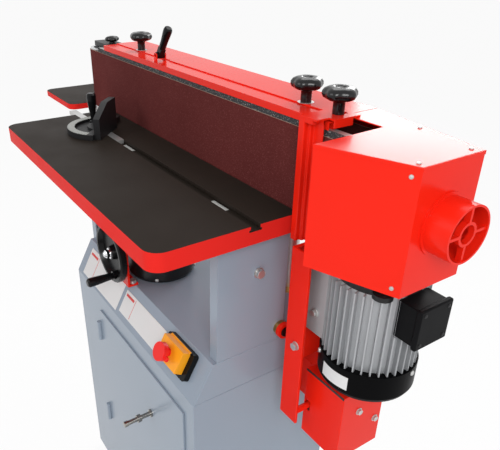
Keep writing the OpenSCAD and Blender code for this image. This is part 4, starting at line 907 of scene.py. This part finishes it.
@dataclass
class FoldedStop:
    """Work stop: the slotted strap of its node over a leg of folded sheet."""

    folds: tuple[Pair, ...] = ((0.0, -0.25), (12.0, -0.25), (12.0, 8.5), (17.0, 8.5), (17.0, 14.8),
                               (37.0, 14.8))
    sheet: float = 1.2
    bend: float = 2.0
    bend_steps: int = 4
    strap: float = 3.0
    lip: float = 6.0
    leg: float = 16.1
    edge: float = 0.8

    def strap_part(self, node: str) -> Shape:
        """Cuts the leg off the node's shape, below the strap's front lip.

        Args:
            node: The CAD stop.

        Returns:
            The strap with its lip, in place.
        """
        lo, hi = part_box(node)
        bm = copied(node)
        legs = {f for f in bm.faces if max(v.co.y for v in f.verts) < lo.y + self.leg * MM}
        geom = [g for g in (*bm.verts, *bm.edges) if legs.intersection(g.link_faces)]
        level = hi.z - (self.strap + self.lip) * MM
        cut = bmesh.ops.bisect_plane(bm, geom=geom + [f for f in bm.faces if f in legs], dist=SPIN_WELD,
                                     plane_co=UP * level, plane_no=UP, clear_inner=True)
        rim = [g for g in cut["geom_cut"] if isinstance(g, bmesh.types.BMEdge)]
        bmesh.ops.triangle_fill(bm, edges=rim, use_beauty=True, normal=-UP)
        bmesh.ops.recalc_face_normals(bm, faces=bm.faces)
        ease(bm, self.edge)
        return bm

    def leg_part(self, node: str) -> Shape:
        """Folds the leg from a strip of sheet.

        Args:
            node: The CAD stop.

        Returns:
            The leg, in place.
        """
        lo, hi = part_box(node)
        bm = bmesh.new()
        line = [bm.verts.new((lo.x + x * MM, lo.y + y * MM, lo.z)) for x, y in self.folds]
        foot = [bm.edges.new(pair) for pair in zip(line, line[1:])]
        wall = bmesh.ops.extrude_edge_only(bm, edges=foot)["geom"]
        bmesh.ops.translate(bm, vec=UP * (hi.z - self.strap * MM - lo.z),
                            verts=[g for g in wall if isinstance(g, bmesh.types.BMVert)])
        creases = [e for e in bm.edges if len(e.link_faces) == 2]
        bent = bevelled(bm, creases, self.bend, self.bend_steps)
        bmesh.ops.recalc_face_normals(bm, faces=bm.faces)
        bm.normal_update()
        front = min(bm.faces, key=lambda f: f.calc_center_median().y)
        if front.normal.y > 0:
            bmesh.ops.reverse_faces(bm, faces=bm.faces)
        bmesh.ops.solidify(bm, geom=bm.faces[:], thickness=self.sheet * MM)
        bmesh.ops.recalc_face_normals(bm, faces=bm.faces)
        shade(bm, bent)
        return bm

    def build(self, node: str) -> Shape:
        """Makes the stop in the place of its node."""
        return joined([self.strap_part(node), self.leg_part(node)])


@dataclass
class CabinetStand:
    """Cabinet, console, door, risers and their trim."""

    grey_nodes: tuple[str, ...] = ("cabinet", "console", "cabinet_door", "risers", "guide_columns", "end_arm")
    edge: float = 0.8
    bracket_edge: float = 0.6
    box_edge: float = 1.2
    foot: Pair = (-193.0, -350.0)
    slope: Pair = (42.0, 77.0)
    plate_spans: tuple[tuple[float, float, float, float], ...] = ((-363, -181, 13, 66), (-574, -376, 6, 74))
    plate_t: float = 0.8
    plate_edge: float = 0.2
    ink_t: float = 0.2
    ink_edge: float = 0.05
    line_w: float = 1.6
    line_short: float = 8.0
    line_share: float = 0.24
    bar_share: float = 0.2
    bar_h: float = 6.0
    bar_at: Pair = (0.37, 0.32)
    side_x: float = -28.0
    beads: tuple[Triple, ...] = ((-273.0, -151.0, 147.0), (-350.0, -193.0, 147.0))
    bead: Triple = (1.8, 2.4, 0.7)
    right_from: float = -300.0
    steep: float = 0.5
    guide_bolt: HexBolt = HexBolt(15.2, 7.0, 7.6)
    bolt_proud: float = 0.15
    plug: tuple[Pair, ...] = ((0, 0), (9.8, 0), (9.8, 2.4), (9.2, 2.9), (4.6, 2.9), (4.2, 2.3), (0, 2.2))
    plug_sunk: float = 2.0
    plug_steps: int = 28
    rim_screw: Screw = Screw(4.2, 2.6)
    rim_angles: tuple[float, ...] = (-126.0, -36.0, 54.0, 144.0)
    rim_z: float = 11.0
    rim_sunk: float = 0.1
    box_x: Pair = (52.0, 146.0)
    # Black strip that paints the shadow of the oscillation box's open top: its depth, height and rounding,
    # then its place.
    shadow_strip: Triple = (1.2, 4.4, 0.4)
    shadow_strip_at: Pair = (-0.4, -291.8)
    box_bolt: HexBolt = HexBolt(10, 5, 7)
    box_bolts: tuple[Pair, ...] = ((42.0, -339.0), (88.0, -379.0))

    def build(self, shop: Workshop) -> None:
        """Dresses the stand and adds its trim.

        Args:
            shop: The workshop with the materials.
        """
        for node in self.grey_nodes:
            shop.soften(node, "door" if node == "cabinet_door" else "stand", "grey_enamel", self.edge)
        # The door pull's finish has the reflection of a dim room painted into its colour.
        for finish, node in (("rubber_and_shadow_black", "levelling_feet"), ("grey_enamel", "hinge_pins"),
                             ("zinc", "frame_bolts"), ("pull_steel_dim_reflection", "door_pull"),
                             ("red_enamel", "stay_collars"), ("bronze", "bushes"),
                             ("black_enamel", "lift_housing"), ("zinc", "oscillation_unit")):
            shop.dress(finish, node)
        shop.soften("lift_bracket", "stand", "red_enamel", self.bracket_edge)
        shop.soften("oscillation_box", "stand", "red_enamel", self.box_edge)
        self.add_plates(shop)
        wide, tall, edge = self.bead
        seams = [plate((wide, y1 - y0, tall), Matrix.Translation(at(self.side_x, (y0 + y1) / 2, z)), edge)
                 for z, y0, y1 in self.beads]
        shop.piece("seam_beads", joined(seams), "stand", "grey_enamel")
        self.add_bolts(shop)
        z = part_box("lift_housing")[0].z + self.rim_z * MM
        rim = self.rim_screw.on_rim("lift_housing", z, self.rim_angles, self.rim_sunk)
        shop.piece("housing_screws", rim, "stand", "zinc")
        self.add_box_shadow_and_bolts(shop)

    def add_plates(self, shop: Workshop) -> None:
        """Adds the bare plates on the slope, each with a plain line and bar.

        Args:
            shop: The workshop with the materials.
        """
        run, rise = self.slope
        turn = Matrix.Rotation(math.atan2(rise, run), 4, "X")
        left, up = self.bar_at
        top = self.plate_t / 2
        for i, (x0, x1, low, high) in enumerate(self.plate_spans):
            wide, tall = x1 - x0, high - low
            foot = Matrix.Translation(at((x0 + x1) / 2, *self.foot))
            spot = foot @ turn @ shift(0, (low + high) / 2, top)
            sheet = plate((wide, tall, self.plate_t), spot, self.plate_edge)
            shop.piece(f"bare_plate_{i}", sheet, "stand", "plate_white")
            marks = [plate(size, spot @ shift(x, y, top), self.ink_edge, 1) for size, x, y in (
                ((self.line_w, tall - self.line_short, self.ink_t), -wide * self.line_share, 0.0),
                ((wide * self.bar_share, self.bar_h, self.ink_t), -wide * left, tall * up))]
            shop.piece(f"plate_lines_{i}", joined(marks), "stand", "plate_red")

    def add_bolts(self, shop: Workshop) -> None:
        """Adds the hexagon heads on the frame's bolts and the plugs in the collars.

        Args:
            shop: The workshop with the materials.
        """
        sunk = (self.guide_bolt.h - self.bolt_proud) * MM
        heads = [self.guide_bolt.build(end - out * sunk, out)
                 for end, out in map(self.outer_end, rounds("frame_bolts"))]
        shop.piece("bolt_heads", joined(heads), "stand", "zinc")
        plugs = [turned(self.plug, end - out * self.plug_sunk * MM, out, self.plug_steps)
                 for end, out in map(self.outer_end, rounds("stay_collars"))]
        shop.piece("collar_plugs", joined(plugs), "stand", "black_plastic")

    def outer_end(self, item: Round) -> tuple[Vector, Vector]:
        """Finds the end of a round that looks away from the stand.

        Args:
            item: A round on the stand's left, right or top.

        Returns:
            The point at that end, and the direction outwards.
        """
        if item.seat.x > DATUM.x + self.right_from * MM or abs(item.axis.z) > self.steep:
            return item.seat + item.axis * item.h, item.axis
        return item.seat, -item.axis

    def add_box_shadow_and_bolts(self, shop: Workshop) -> None:
        """Adds a black strip of painted shadow along the oscillation box's top edge, and the box's bolts.

        Args:
            shop: The workshop with the materials.
        """
        # The black strip is painted shade standing for the shadow in the box's open top, not a part of the
        # box.
        deep, tall, edge = self.shadow_strip
        place = Matrix.Translation(at(sum(self.box_x) / 2, *self.shadow_strip_at))
        trim = plate((self.box_x[1] - self.box_x[0], deep, tall), place, edge)
        shop.piece("box_shadow_strip", trim, "stand", "rubber_and_shadow_black")
        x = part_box("oscillation_box")[1].x
        seats = [Vector((x, DATUM.y + y * MM, DATUM.z + z * MM)) for y, z in self.box_bolts]
        bolts = joined([self.box_bolt.build(seat, RIGHT) for seat in seats])
        shop.piece("box_bolts", bolts, "stand", "zinc")


@dataclass
class SwitchUnit:
    """Switch with its yellow flap and red stop button."""

    base_edge: float = 0.8
    flap_edge: float = 1.6
    button_edge: float = 1.8

    def build(self, shop: Workshop) -> None:
        """Dresses the switch.

        Args:
            shop: The workshop with the materials.
        """
        shop.soften("switch_base", "stand", "black_plastic", self.base_edge)
        shop.soften("switch_flap", "flap", "yellow_plastic", self.flap_edge)
        shop.soften("stop_button", "stop_button", "red_plastic", self.button_edge)
        shop.dress("green_plastic", "start_button")


@dataclass
class TableUnit:
    """Main table, mitre gauge, end table and the lift."""

    top_edge: float = 1.2
    side_edge: float = 0.6
    gauge_edge: float = 0.8
    pivot: Pair = (-600.0, -90.0)
    ring_r: Pair = (67.0, 83.0)
    ring_z: float = 12.4
    ring_t: float = 0.8
    ring_start: float = 140.0
    ring_sweep: float = 170.0
    ring_steps: int = 40

    def build(self, shop: Workshop) -> None:
        """Dresses the table's pieces and adds the gauge's ring.

        Args:
            shop: The workshop with the materials.
        """
        shop.soften("main_table", "table", "table_coat", self.top_edge)
        shop.soften("end_table", "end_table", "end_coat", self.top_edge)
        shop.dress("keeper_plate", "slot_keepers")
        shop.dress("zinc", "lift_nut", "mitre_bar", "end_post", "lift_screw")
        shop.soften("table_sides", "table", "red_enamel", self.side_edge)
        shop.soften("mitre_head", "mitre_head", "cast_black", self.gauge_edge)
        shop.dress("black_plastic", "mitre_handle", "handwheel", "crank_grip", "end_lock")
        shop.dress("bright_chrome", "wheel_shaft")
        ring = arc_band(self.ring_r, (0, self.ring_t), self.ring_start, self.ring_sweep, self.ring_steps,
                        at(*self.pivot, self.ring_z))
        shop.piece("mitre_scale", ring, "mitre_head", "scale_ring")


@dataclass
class SandingHead:
    """Frame, belt, covers, idler end, knobs and the work stop."""

    sheet_edge: float = 0.6
    cast_edge: float = 1.0
    small_knob: StarKnob = StarKnob(r=19.0, stem_r=8.0, stem_h=4.0, cap_h=13.0, lobes=4, depth=0.26)
    washer_spots: tuple[Triple, ...] = ((-656, 46, 162), (-59, 46, 162))
    washer: Triple = (9.4, 13.5, 0.3)

    def build(self, shop: Workshop) -> None:
        """Dresses the head and adds the knobs, the lever, the stop and the washers.

        Args:
            shop: The workshop with the materials.
        """
        shop.dress("zinc", "head_frame", "guide_rods")
        shop.dress("graphite", "graphite_pad")
        shop.dress("abrasive", "sanding_belt")
        for node in ("top_strip", "rear_cover"):
            shop.soften(node, "head", "red_enamel", self.sheet_edge)
        stop = FoldedStop().build("work_stop")
        shop.piece("work_stop_shell", stop, "work_stop", "red_enamel", ("work_stop",))
        shop.soften("idler_carriage", "carriage", "cast_black", self.cast_edge)
        shop.dress("bare_alloy", "idler_drum", "drive_drum")
        lever = HandLever().build("tension_lever")
        shop.piece("lever_moulded", lever, "tension_lever", "black_plastic", ("tension_lever",))
        for node in ("cover_knob_a", "cover_knob_b", "stop_knob"):
            shop.piece(node + "_star", StarKnob().build(node), node, "knob_black", (node,))
        tracking = self.small_knob.build("tracking_knob")
        shop.piece("tracking_star", tracking, "tracking_knob", "knob_black", ("tracking_knob",))
        inner, outer, t = self.washer
        for i, spot in enumerate(self.washer_spots):
            ring = turned([(inner, 0), (outer, 0), (outer, t), (inner, t), (inner, 0)], at(*spot), UP)
            shop.piece(f"knob_washer_{i}", ring, "head", "zinc")


@dataclass
class HoodUnit:
    """Dust hood, its top and the port."""

    sheet_edge: float = 0.6
    port_edge: float = 0.7
    corners: tuple[Pair, ...] = ((111.0, -89.0), (243.0, -40.0), (243.0, 76.0))
    lip: Pair = (0.9, 5.5)
    lip_out: float = 0.4
    lip_drop: float = 0.1
    lip_edge: float = 0.3
    bolt_from: float = 6.0
    bolt: HexBolt = HexBolt(13.0, 7.0, 8.0)
    screw: Screw = Screw(3.1, 2.2)

    def lid_lip(self) -> Shape:
        """Makes the folded lip of the lid on the hood's front and right faces.

        Returns:
            The lip, in place.
        """
        thick, tall = self.lip
        z = (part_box("hood_top")[1].z - DATUM.z) / MM - tall / 2 - self.lip_drop
        strips = []
        for (x0, y0), (x1, y1) in zip(self.corners, self.corners[1:]):
            run = math.hypot(x1 - x0, y1 - y0)
            out = thick * self.lip_out / run
            mid = at((x0 + x1) / 2 + (y1 - y0) * out, (y0 + y1) / 2 + (x0 - x1) * out, z)
            spot = Matrix.Translation(mid) @ Matrix.Rotation(math.atan2(y1 - y0, x1 - x0), 4, "Z")
            strips.append(plate((run + thick, thick, tall), spot, self.lip_edge))
        return joined(strips)

    def build(self, shop: Workshop) -> None:
        """Dresses the hood and adds its lip, screws and bolts.

        Args:
            shop: The workshop with the materials.
        """
        shop.soften("dust_hood", "head", "red_enamel", self.sheet_edge)
        shop.soften("hood_top", "head", "red_enamel", self.sheet_edge)
        shop.soften("dust_port", "head", "red_enamel", self.port_edge)
        shop.piece("lid_lip", self.lid_lip(), "head", "red_enamel")
        heads = [(self.bolt if item.r / MM > self.bolt_from else self.screw).build(item.seat, item.axis)
                 for item in rounds("head_fasteners")]
        shop.piece("head_screws", joined(heads), "head", "zinc", ("head_fasteners",))


@dataclass
class MotorUnit:
    """Drive motor with cowl, terminal box, bracket and pull bar."""

    bracket_edge: float = 0.8
    cowl_r: float = 79.0
    plate_skin: Pair = (0.02, 0.6)
    plate_z: Pair = (-37.0, -12.0)
    plate_start: float = -106.0
    plate_sweep: float = 38.0
    plate_steps: int = 12
    cowl_screw: Screw = Screw(4.4, 3.2)
    cowl_angles: tuple[float, ...] = (-122.0, 11.0, 130.0)
    cowl_drop: float = 7.0
    cowl_sunk: float = 0.2
    box_edge: float = 3.0
    lid_t: float = 9.0
    lid_step: float = 1.2
    lid_proud: float = 0.3
    lid_edge: float = 2.6
    lid_segments: int = 3
    lid_screw: Screw = Screw(3.0, 1.2)
    lid_inset: float = 8.0
    lid_seat: float = 0.2
    leg_bolt: HexBolt = HexBolt(11.0, 6.0, 8.0)
    leg_at: Triple = (6.0, -9.8, -156.0)

    def name_plate(self) -> Shape:
        """Makes the bare curved plate on the cowl.

        Returns:
            The plate, in place.
        """
        lo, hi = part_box("fan_cowl")
        inner, outer = (self.cowl_r + skin for skin in self.plate_skin)
        return arc_band((inner, outer), self.plate_z, self.plate_start, self.plate_sweep, self.plate_steps,
                        Vector(((lo.x + hi.x) / 2, (lo.y + hi.y) / 2, hi.z)))

    def terminal_lid(self) -> Shape:
        """Makes the stepped lid of the terminal box.

        Returns:
            The lid, in place.
        """
        lo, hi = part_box("terminal_box")
        size = (self.lid_t, *((hi[i] - lo[i]) / MM + 2 * self.lid_step for i in (1, 2)))
        mid = Vector((hi.x - (self.lid_t / 2 - self.lid_proud) * MM, (lo.y + hi.y) / 2, (lo.z + hi.z) / 2))
        return plate(size, Matrix.Translation(mid), self.lid_edge, self.lid_segments)

    def lid_screws(self) -> Shape:
        """Makes the screws in the lid's corners.

        Returns:
            The screws, in place.
        """
        lo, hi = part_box("terminal_box")
        inset = self.lid_inset * MM
        return joined([self.lid_screw.build(Vector((hi.x + self.lid_seat * MM, y, z)), RIGHT)
                       for y in (lo.y + inset, hi.y - inset) for z in (lo.z + inset, hi.z - inset)])

    def build(self, shop: Workshop) -> None:
        """Dresses the motor and adds its plate, screws and bolt.

        Args:
            shop: The workshop with the materials.
        """
        shop.dress("motor_silver", "motor_body")
        shop.dress("cast_black", "end_shield")
        shop.dress("cowl_black", "fan_cowl")
        shop.soften("terminal_box", "head", "box_plastic", self.box_edge)
        shop.soften("motor_bracket", "head", "red_enamel", self.bracket_edge)
        shop.soften("pull_bar", "head", "red_enamel", self.bracket_edge)
        shop.dress("zinc", "drive_shaft")
        shop.piece("motor_plate", self.name_plate(), "head", "plate_white")
        shop.piece("terminal_lid", self.terminal_lid(), "head", "box_plastic")
        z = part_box("fan_cowl")[1].z - self.cowl_drop * MM
        rim = self.cowl_screw.on_rim("fan_cowl", z, self.cowl_angles, self.cowl_sunk)
        shop.piece("cowl_screws", rim, "head", "zinc")
        x, y, z = self.leg_at
        seat = Vector((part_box("motor_bracket")[1].x + x * MM, DATUM.y + y * MM, DATUM.z + z * MM))
        shop.piece("leg_bolt", self.leg_bolt.build(seat, FRONT), "head", "zinc")
        shop.piece("lid_screws", self.lid_screws(), "head", "cast_black")


@dataclass(frozen=True)
class Lamp:
    """A soft square lamp: its place and aim in metres, its side and its power."""

    name: str
    spot: Triple
    aim: Triple
    size: float
    watts: float

    def hang(self) -> None:
        """Adds the lamp to the scene."""
        data = bpy.data.lights.new(self.name, "AREA")
        data.size = self.size
        data.energy = self.watts
        obj = added(self.name, data)
        obj.location = self.spot
        obj.rotation_euler = (Vector(self.aim) - Vector(self.spot)).to_track_quat("-Z", "Y").to_euler()


@dataclass
class Studio:
    """Floor, light and camera."""

    eye: Triple = (619.7, -567.6, 387.2)
    azimuth: float = 57.483
    elevation: float = 28.001
    focal_px: float = 558.358
    centre_px: Pair = (211.38, 240.89)
    frame_px: Pair = (500.0, 450.0)
    sensor: float = 36.0
    clip_start: float = 0.01
    floor_size: float = 80.0
    paper: Pair = (0.92, 0.88)
    paper_scale: float = 3.0
    paper_rough: float = 0.9
    paper_glow: float = 0.9
    ambient: float = 0.56
    lamps: tuple[Lamp, ...] = (
        Lamp("key", (2.05, -1.15, 2.15), (0.1, 0, 0.85), 1.0, 31),
        Lamp("side", (-0.3, -3.0, 2.6), (0, 0, 0.8), 1.6, 24),
        Lamp("fill", (3.0, 0.6, 1.6), (0.3, 0, 0.8), 1.6, 4),
        Lamp("top", (-0.6, 1.2, 3.0), (0, 0, 1.0), 1.4, 20),
        Lamp("back", (-0.63, 1.76, 1.81), (0.57, 0.05, 1.15), 0.7, 10),
    )

    def camera(self) -> None:
        """Sets the camera where the photograph was taken from."""
        wide, high = self.frame_px
        data = bpy.data.cameras.new("camera")
        data.sensor_width = self.sensor
        data.lens = self.focal_px / wide * self.sensor
        data.shift_x = (wide / 2 - self.centre_px[0]) / wide
        data.shift_y = (self.centre_px[1] - high / 2) / wide
        data.clip_start = self.clip_start
        obj = added("camera", data)
        obj.location = at(*self.eye)
        obj.rotation_euler = (math.radians(90 - self.elevation), 0, math.radians(self.azimuth))
        bpy.context.scene.camera = obj

    @staticmethod
    def seen(tree: Tree) -> Socket:
        """Adds the mask of rays that show the background.

        Args:
            tree: The node tree of the floor or the world.

        Returns:
            One for camera, glossy and transmission rays, else zero.
        """
        path = tree.nodes.new("ShaderNodeLightPath").outputs
        mask = path["Is Camera Ray"]
        for kind in ("Is Glossy Ray", "Is Transmission Ray"):
            mask = maths(tree, "MAXIMUM", mask, path[kind])
        return mask

    def floor(self) -> None:
        """Lays the pale floor, which looks white to the camera away from shadows."""
        bm = bmesh.new()
        bmesh.ops.create_grid(bm, x_segments=1, y_segments=1, size=self.floor_size)
        mesh = bpy.data.meshes.new("floor")
        bm.to_mesh(mesh)
        bm.free()
        material = bpy.data.materials.new("floor_paper")
        material.use_nodes = True
        tree = material.node_tree
        shader = tree.nodes["Principled BSDF"]
        shader.inputs["Roughness"].default_value = self.paper_rough
        light, dark = ((level,) * 3 for level in self.paper)
        tone = blended(tree, light, dark, noise(tree, coords(tree), self.paper_scale, 2.0))
        tree.links.new(tone, shader.inputs["Base Color"])
        mix = tree.nodes.new("ShaderNodeMixShader")
        glow = tree.nodes.new("ShaderNodeEmission")
        share = maths(tree, "MULTIPLY", self.seen(tree), self.paper_glow)
        for socket, source in zip(mix.inputs, (share, shader.outputs[0], glow.outputs[0])):
            tree.links.new(source, socket)
        tree.links.new(mix.outputs[0], tree.nodes["Material Output"].inputs["Surface"])
        mesh.materials.append(material)
        added("floor", mesh)

    def light(self) -> None:
        """Sets the world and the lamps."""
        world = bpy.data.worlds.new("studio")
        bpy.context.scene.world = world
        world.use_nodes = True
        tree = world.node_tree
        back = tree.nodes["Background"]
        back.inputs["Color"].default_value = (1, 1, 1, 1)
        level = ranged(tree, self.seen(tree), result=(self.ambient, 1.0))
        tree.links.new(level, back.inputs["Strength"])
        for lamp in self.lamps:
            lamp.hang()

    def build(self) -> None:
        """Builds the camera, the floor and the light."""
        self.camera()
        self.floor()
        self.light()
        bpy.context.scene.view_settings.view_transform = "Standard"


def finishes() -> list[Finish]:
    """Lists the machine's finishes.

    Returns:
        Every finish that a piece uses.
    """
    pivot = at(*TableUnit.pivot, 0)
    slot_half, rim = 12.6 * MM, 0.4 * MM
    mid = (TABLE_LO.x + TABLE_HI.x) / 2
    half = (TABLE_HI.x - TABLE_LO.x) / 2 - rim
    iron = ("table_iron", (0.022, 0.0165, 0.013), 0.88, 0.5, 0.12)
    skin = {"specular": 0.06, "grain": Grain.CAST, "speck": 0.08, "speck_color": (0.14, 0.12, 0.1)}
    black = "black_plastic"
    peel, cast, brushed, grit = Grain.PEEL, Grain.CAST, Grain.BRUSHED, Grain.GRIT
    return [
        Finish("red_enamel", "red_paint", (0.8, 0.017, 0.006), 0.98, 0.2, 0.03, specular=0.12, grain=peel),
        Finish("grey_enamel", "grey_paint", (0.26, 0.31, 0.375), 0.98, 0.24, 0.03, specular=0.3, grain=peel),
        Finish("black_enamel", "black_paint", (0.01, 0.01, 0.011), 0.7, 0.35, 0.14, specular=0.3, grain=peel),
        Finish("cast_black", "black_paint", (0.011, 0.011, 0.012), 0.7, 0.45, 0.15, specular=0.3, grain=cast),
        EdgedFinish("table_coat", *iron, **skin, band_y=pivot.y, band_half=slot_half, mid_x=mid, half_x=half),
        EdgedFinish("end_coat", *iron, **skin, band_half=-1.0),
        Finish("zinc", "steel", (0.6, 0.6, 0.59), 0.8, 0.36, 0.16, metallic=0.8, grain=brushed),
        Finish("bright_chrome", "chrome", (0.8, 0.8, 0.82), 0.9, 0.12, 0.06, metallic=1.0),
        # Door pull: its steel colour is darkened and warmed to paint in the reflection of a dim room.
        Finish("pull_steel_dim_reflection", "chrome", (0.34, 0.325, 0.3), 0.6, 0.22, 0.1, metallic=1.0),
        Finish("bare_alloy", "alloy", (0.66, 0.67, 0.68), 0.85, 0.36, 0.16, metallic=1.0, grain=brushed),
        Finish("motor_silver", "alloy", (0.4, 0.41, 0.425), 0.85, 0.42, 0.1, metallic=0.3, grain=peel),
        Finish("bronze", "brass", (0.5, 0.31, 0.11), 0.7, 0.34, 0.14, metallic=1.0),
        BeltFinish("abrasive", "belt", (0.112, 0.02, 0.019), 0.85, 0.9, 0.1, specular=0.12, grain=grit,
                   speck=0.5, speck_scale=620, speck_color=(0.27, 0.085, 0.075)),
        Finish("graphite", "graphite", (0.035, 0.035, 0.038), 0.75, 0.75, 0.1, specular=0.25, grain=grit,
               speck=0.85, speck_scale=400, speck_color=(0.42, 0.41, 0.39)),
        Finish("black_plastic", black, (0.005, 0.005, 0.0055), 0.75, 0.26, 0.1, specular=0.18),
        Finish("knob_black", black, (0.005, 0.005, 0.0055), 0.75, 0.2, 0.06, specular=0.35),
        Finish("cowl_black", black, (0.003, 0.003, 0.0034), 0.75, 0.34, 0.08, specular=0.03),
        Finish("keeper_plate", "steel", (0.68, 0.68, 0.66), 0.85, 0.45, 0.12, metallic=0.35, grain=brushed),
        Finish("box_plastic", black, (0.006, 0.006, 0.0068), 0.75, 0.45, 0.12, specular=0.05, grain=cast),
        # Black of the rubber feet; the same black paints the shadow strip on the oscillation box.
        Finish("rubber_and_shadow_black", black, (0.02, 0.02, 0.02), 0.7, 0.7, 0.12, grain=cast),
        Finish("yellow_plastic", "yellow_plastic", (0.9, 0.36, 0.012), 0.95, 0.3, 0.08, specular=0.3),
        Finish("red_plastic", "red_plastic", (0.82, 0.018, 0.014), 0.93, 0.3, 0.08, specular=0.25),
        Finish("green_plastic", "green_plastic", (0.02, 0.28, 0.08), 0.85, 0.3, 0.1),
        Finish("plate_white", "grey_paint", (0.66, 0.66, 0.66), 0.95, 0.4, 0.1),
        Finish("plate_red", "red_paint", (0.6, 0.03, 0.025), 0.95, 0.4, 0.1),
        ScaleFinish("scale_ring", "alloy", (0.36, 0.37, 0.345), 0.9, 0.4, 0.1, centre=tuple(pivot)),
    ]


def main() -> None:
    """Builds the machine's sub-assemblies and the studio in order."""
    logging.basicConfig(level=logging.INFO, format="%(name)s: %(message)s")
    Studio().build()
    shop = Workshop(finishes())
    for unit in (CabinetStand(), SwitchUnit(), TableUnit(), SandingHead(), HoodUnit(), MotorUnit()):
        unit.build(shop)
        LOG.info("finished %s", type(unit).__name__)


if __name__ == "__main__":
    main()
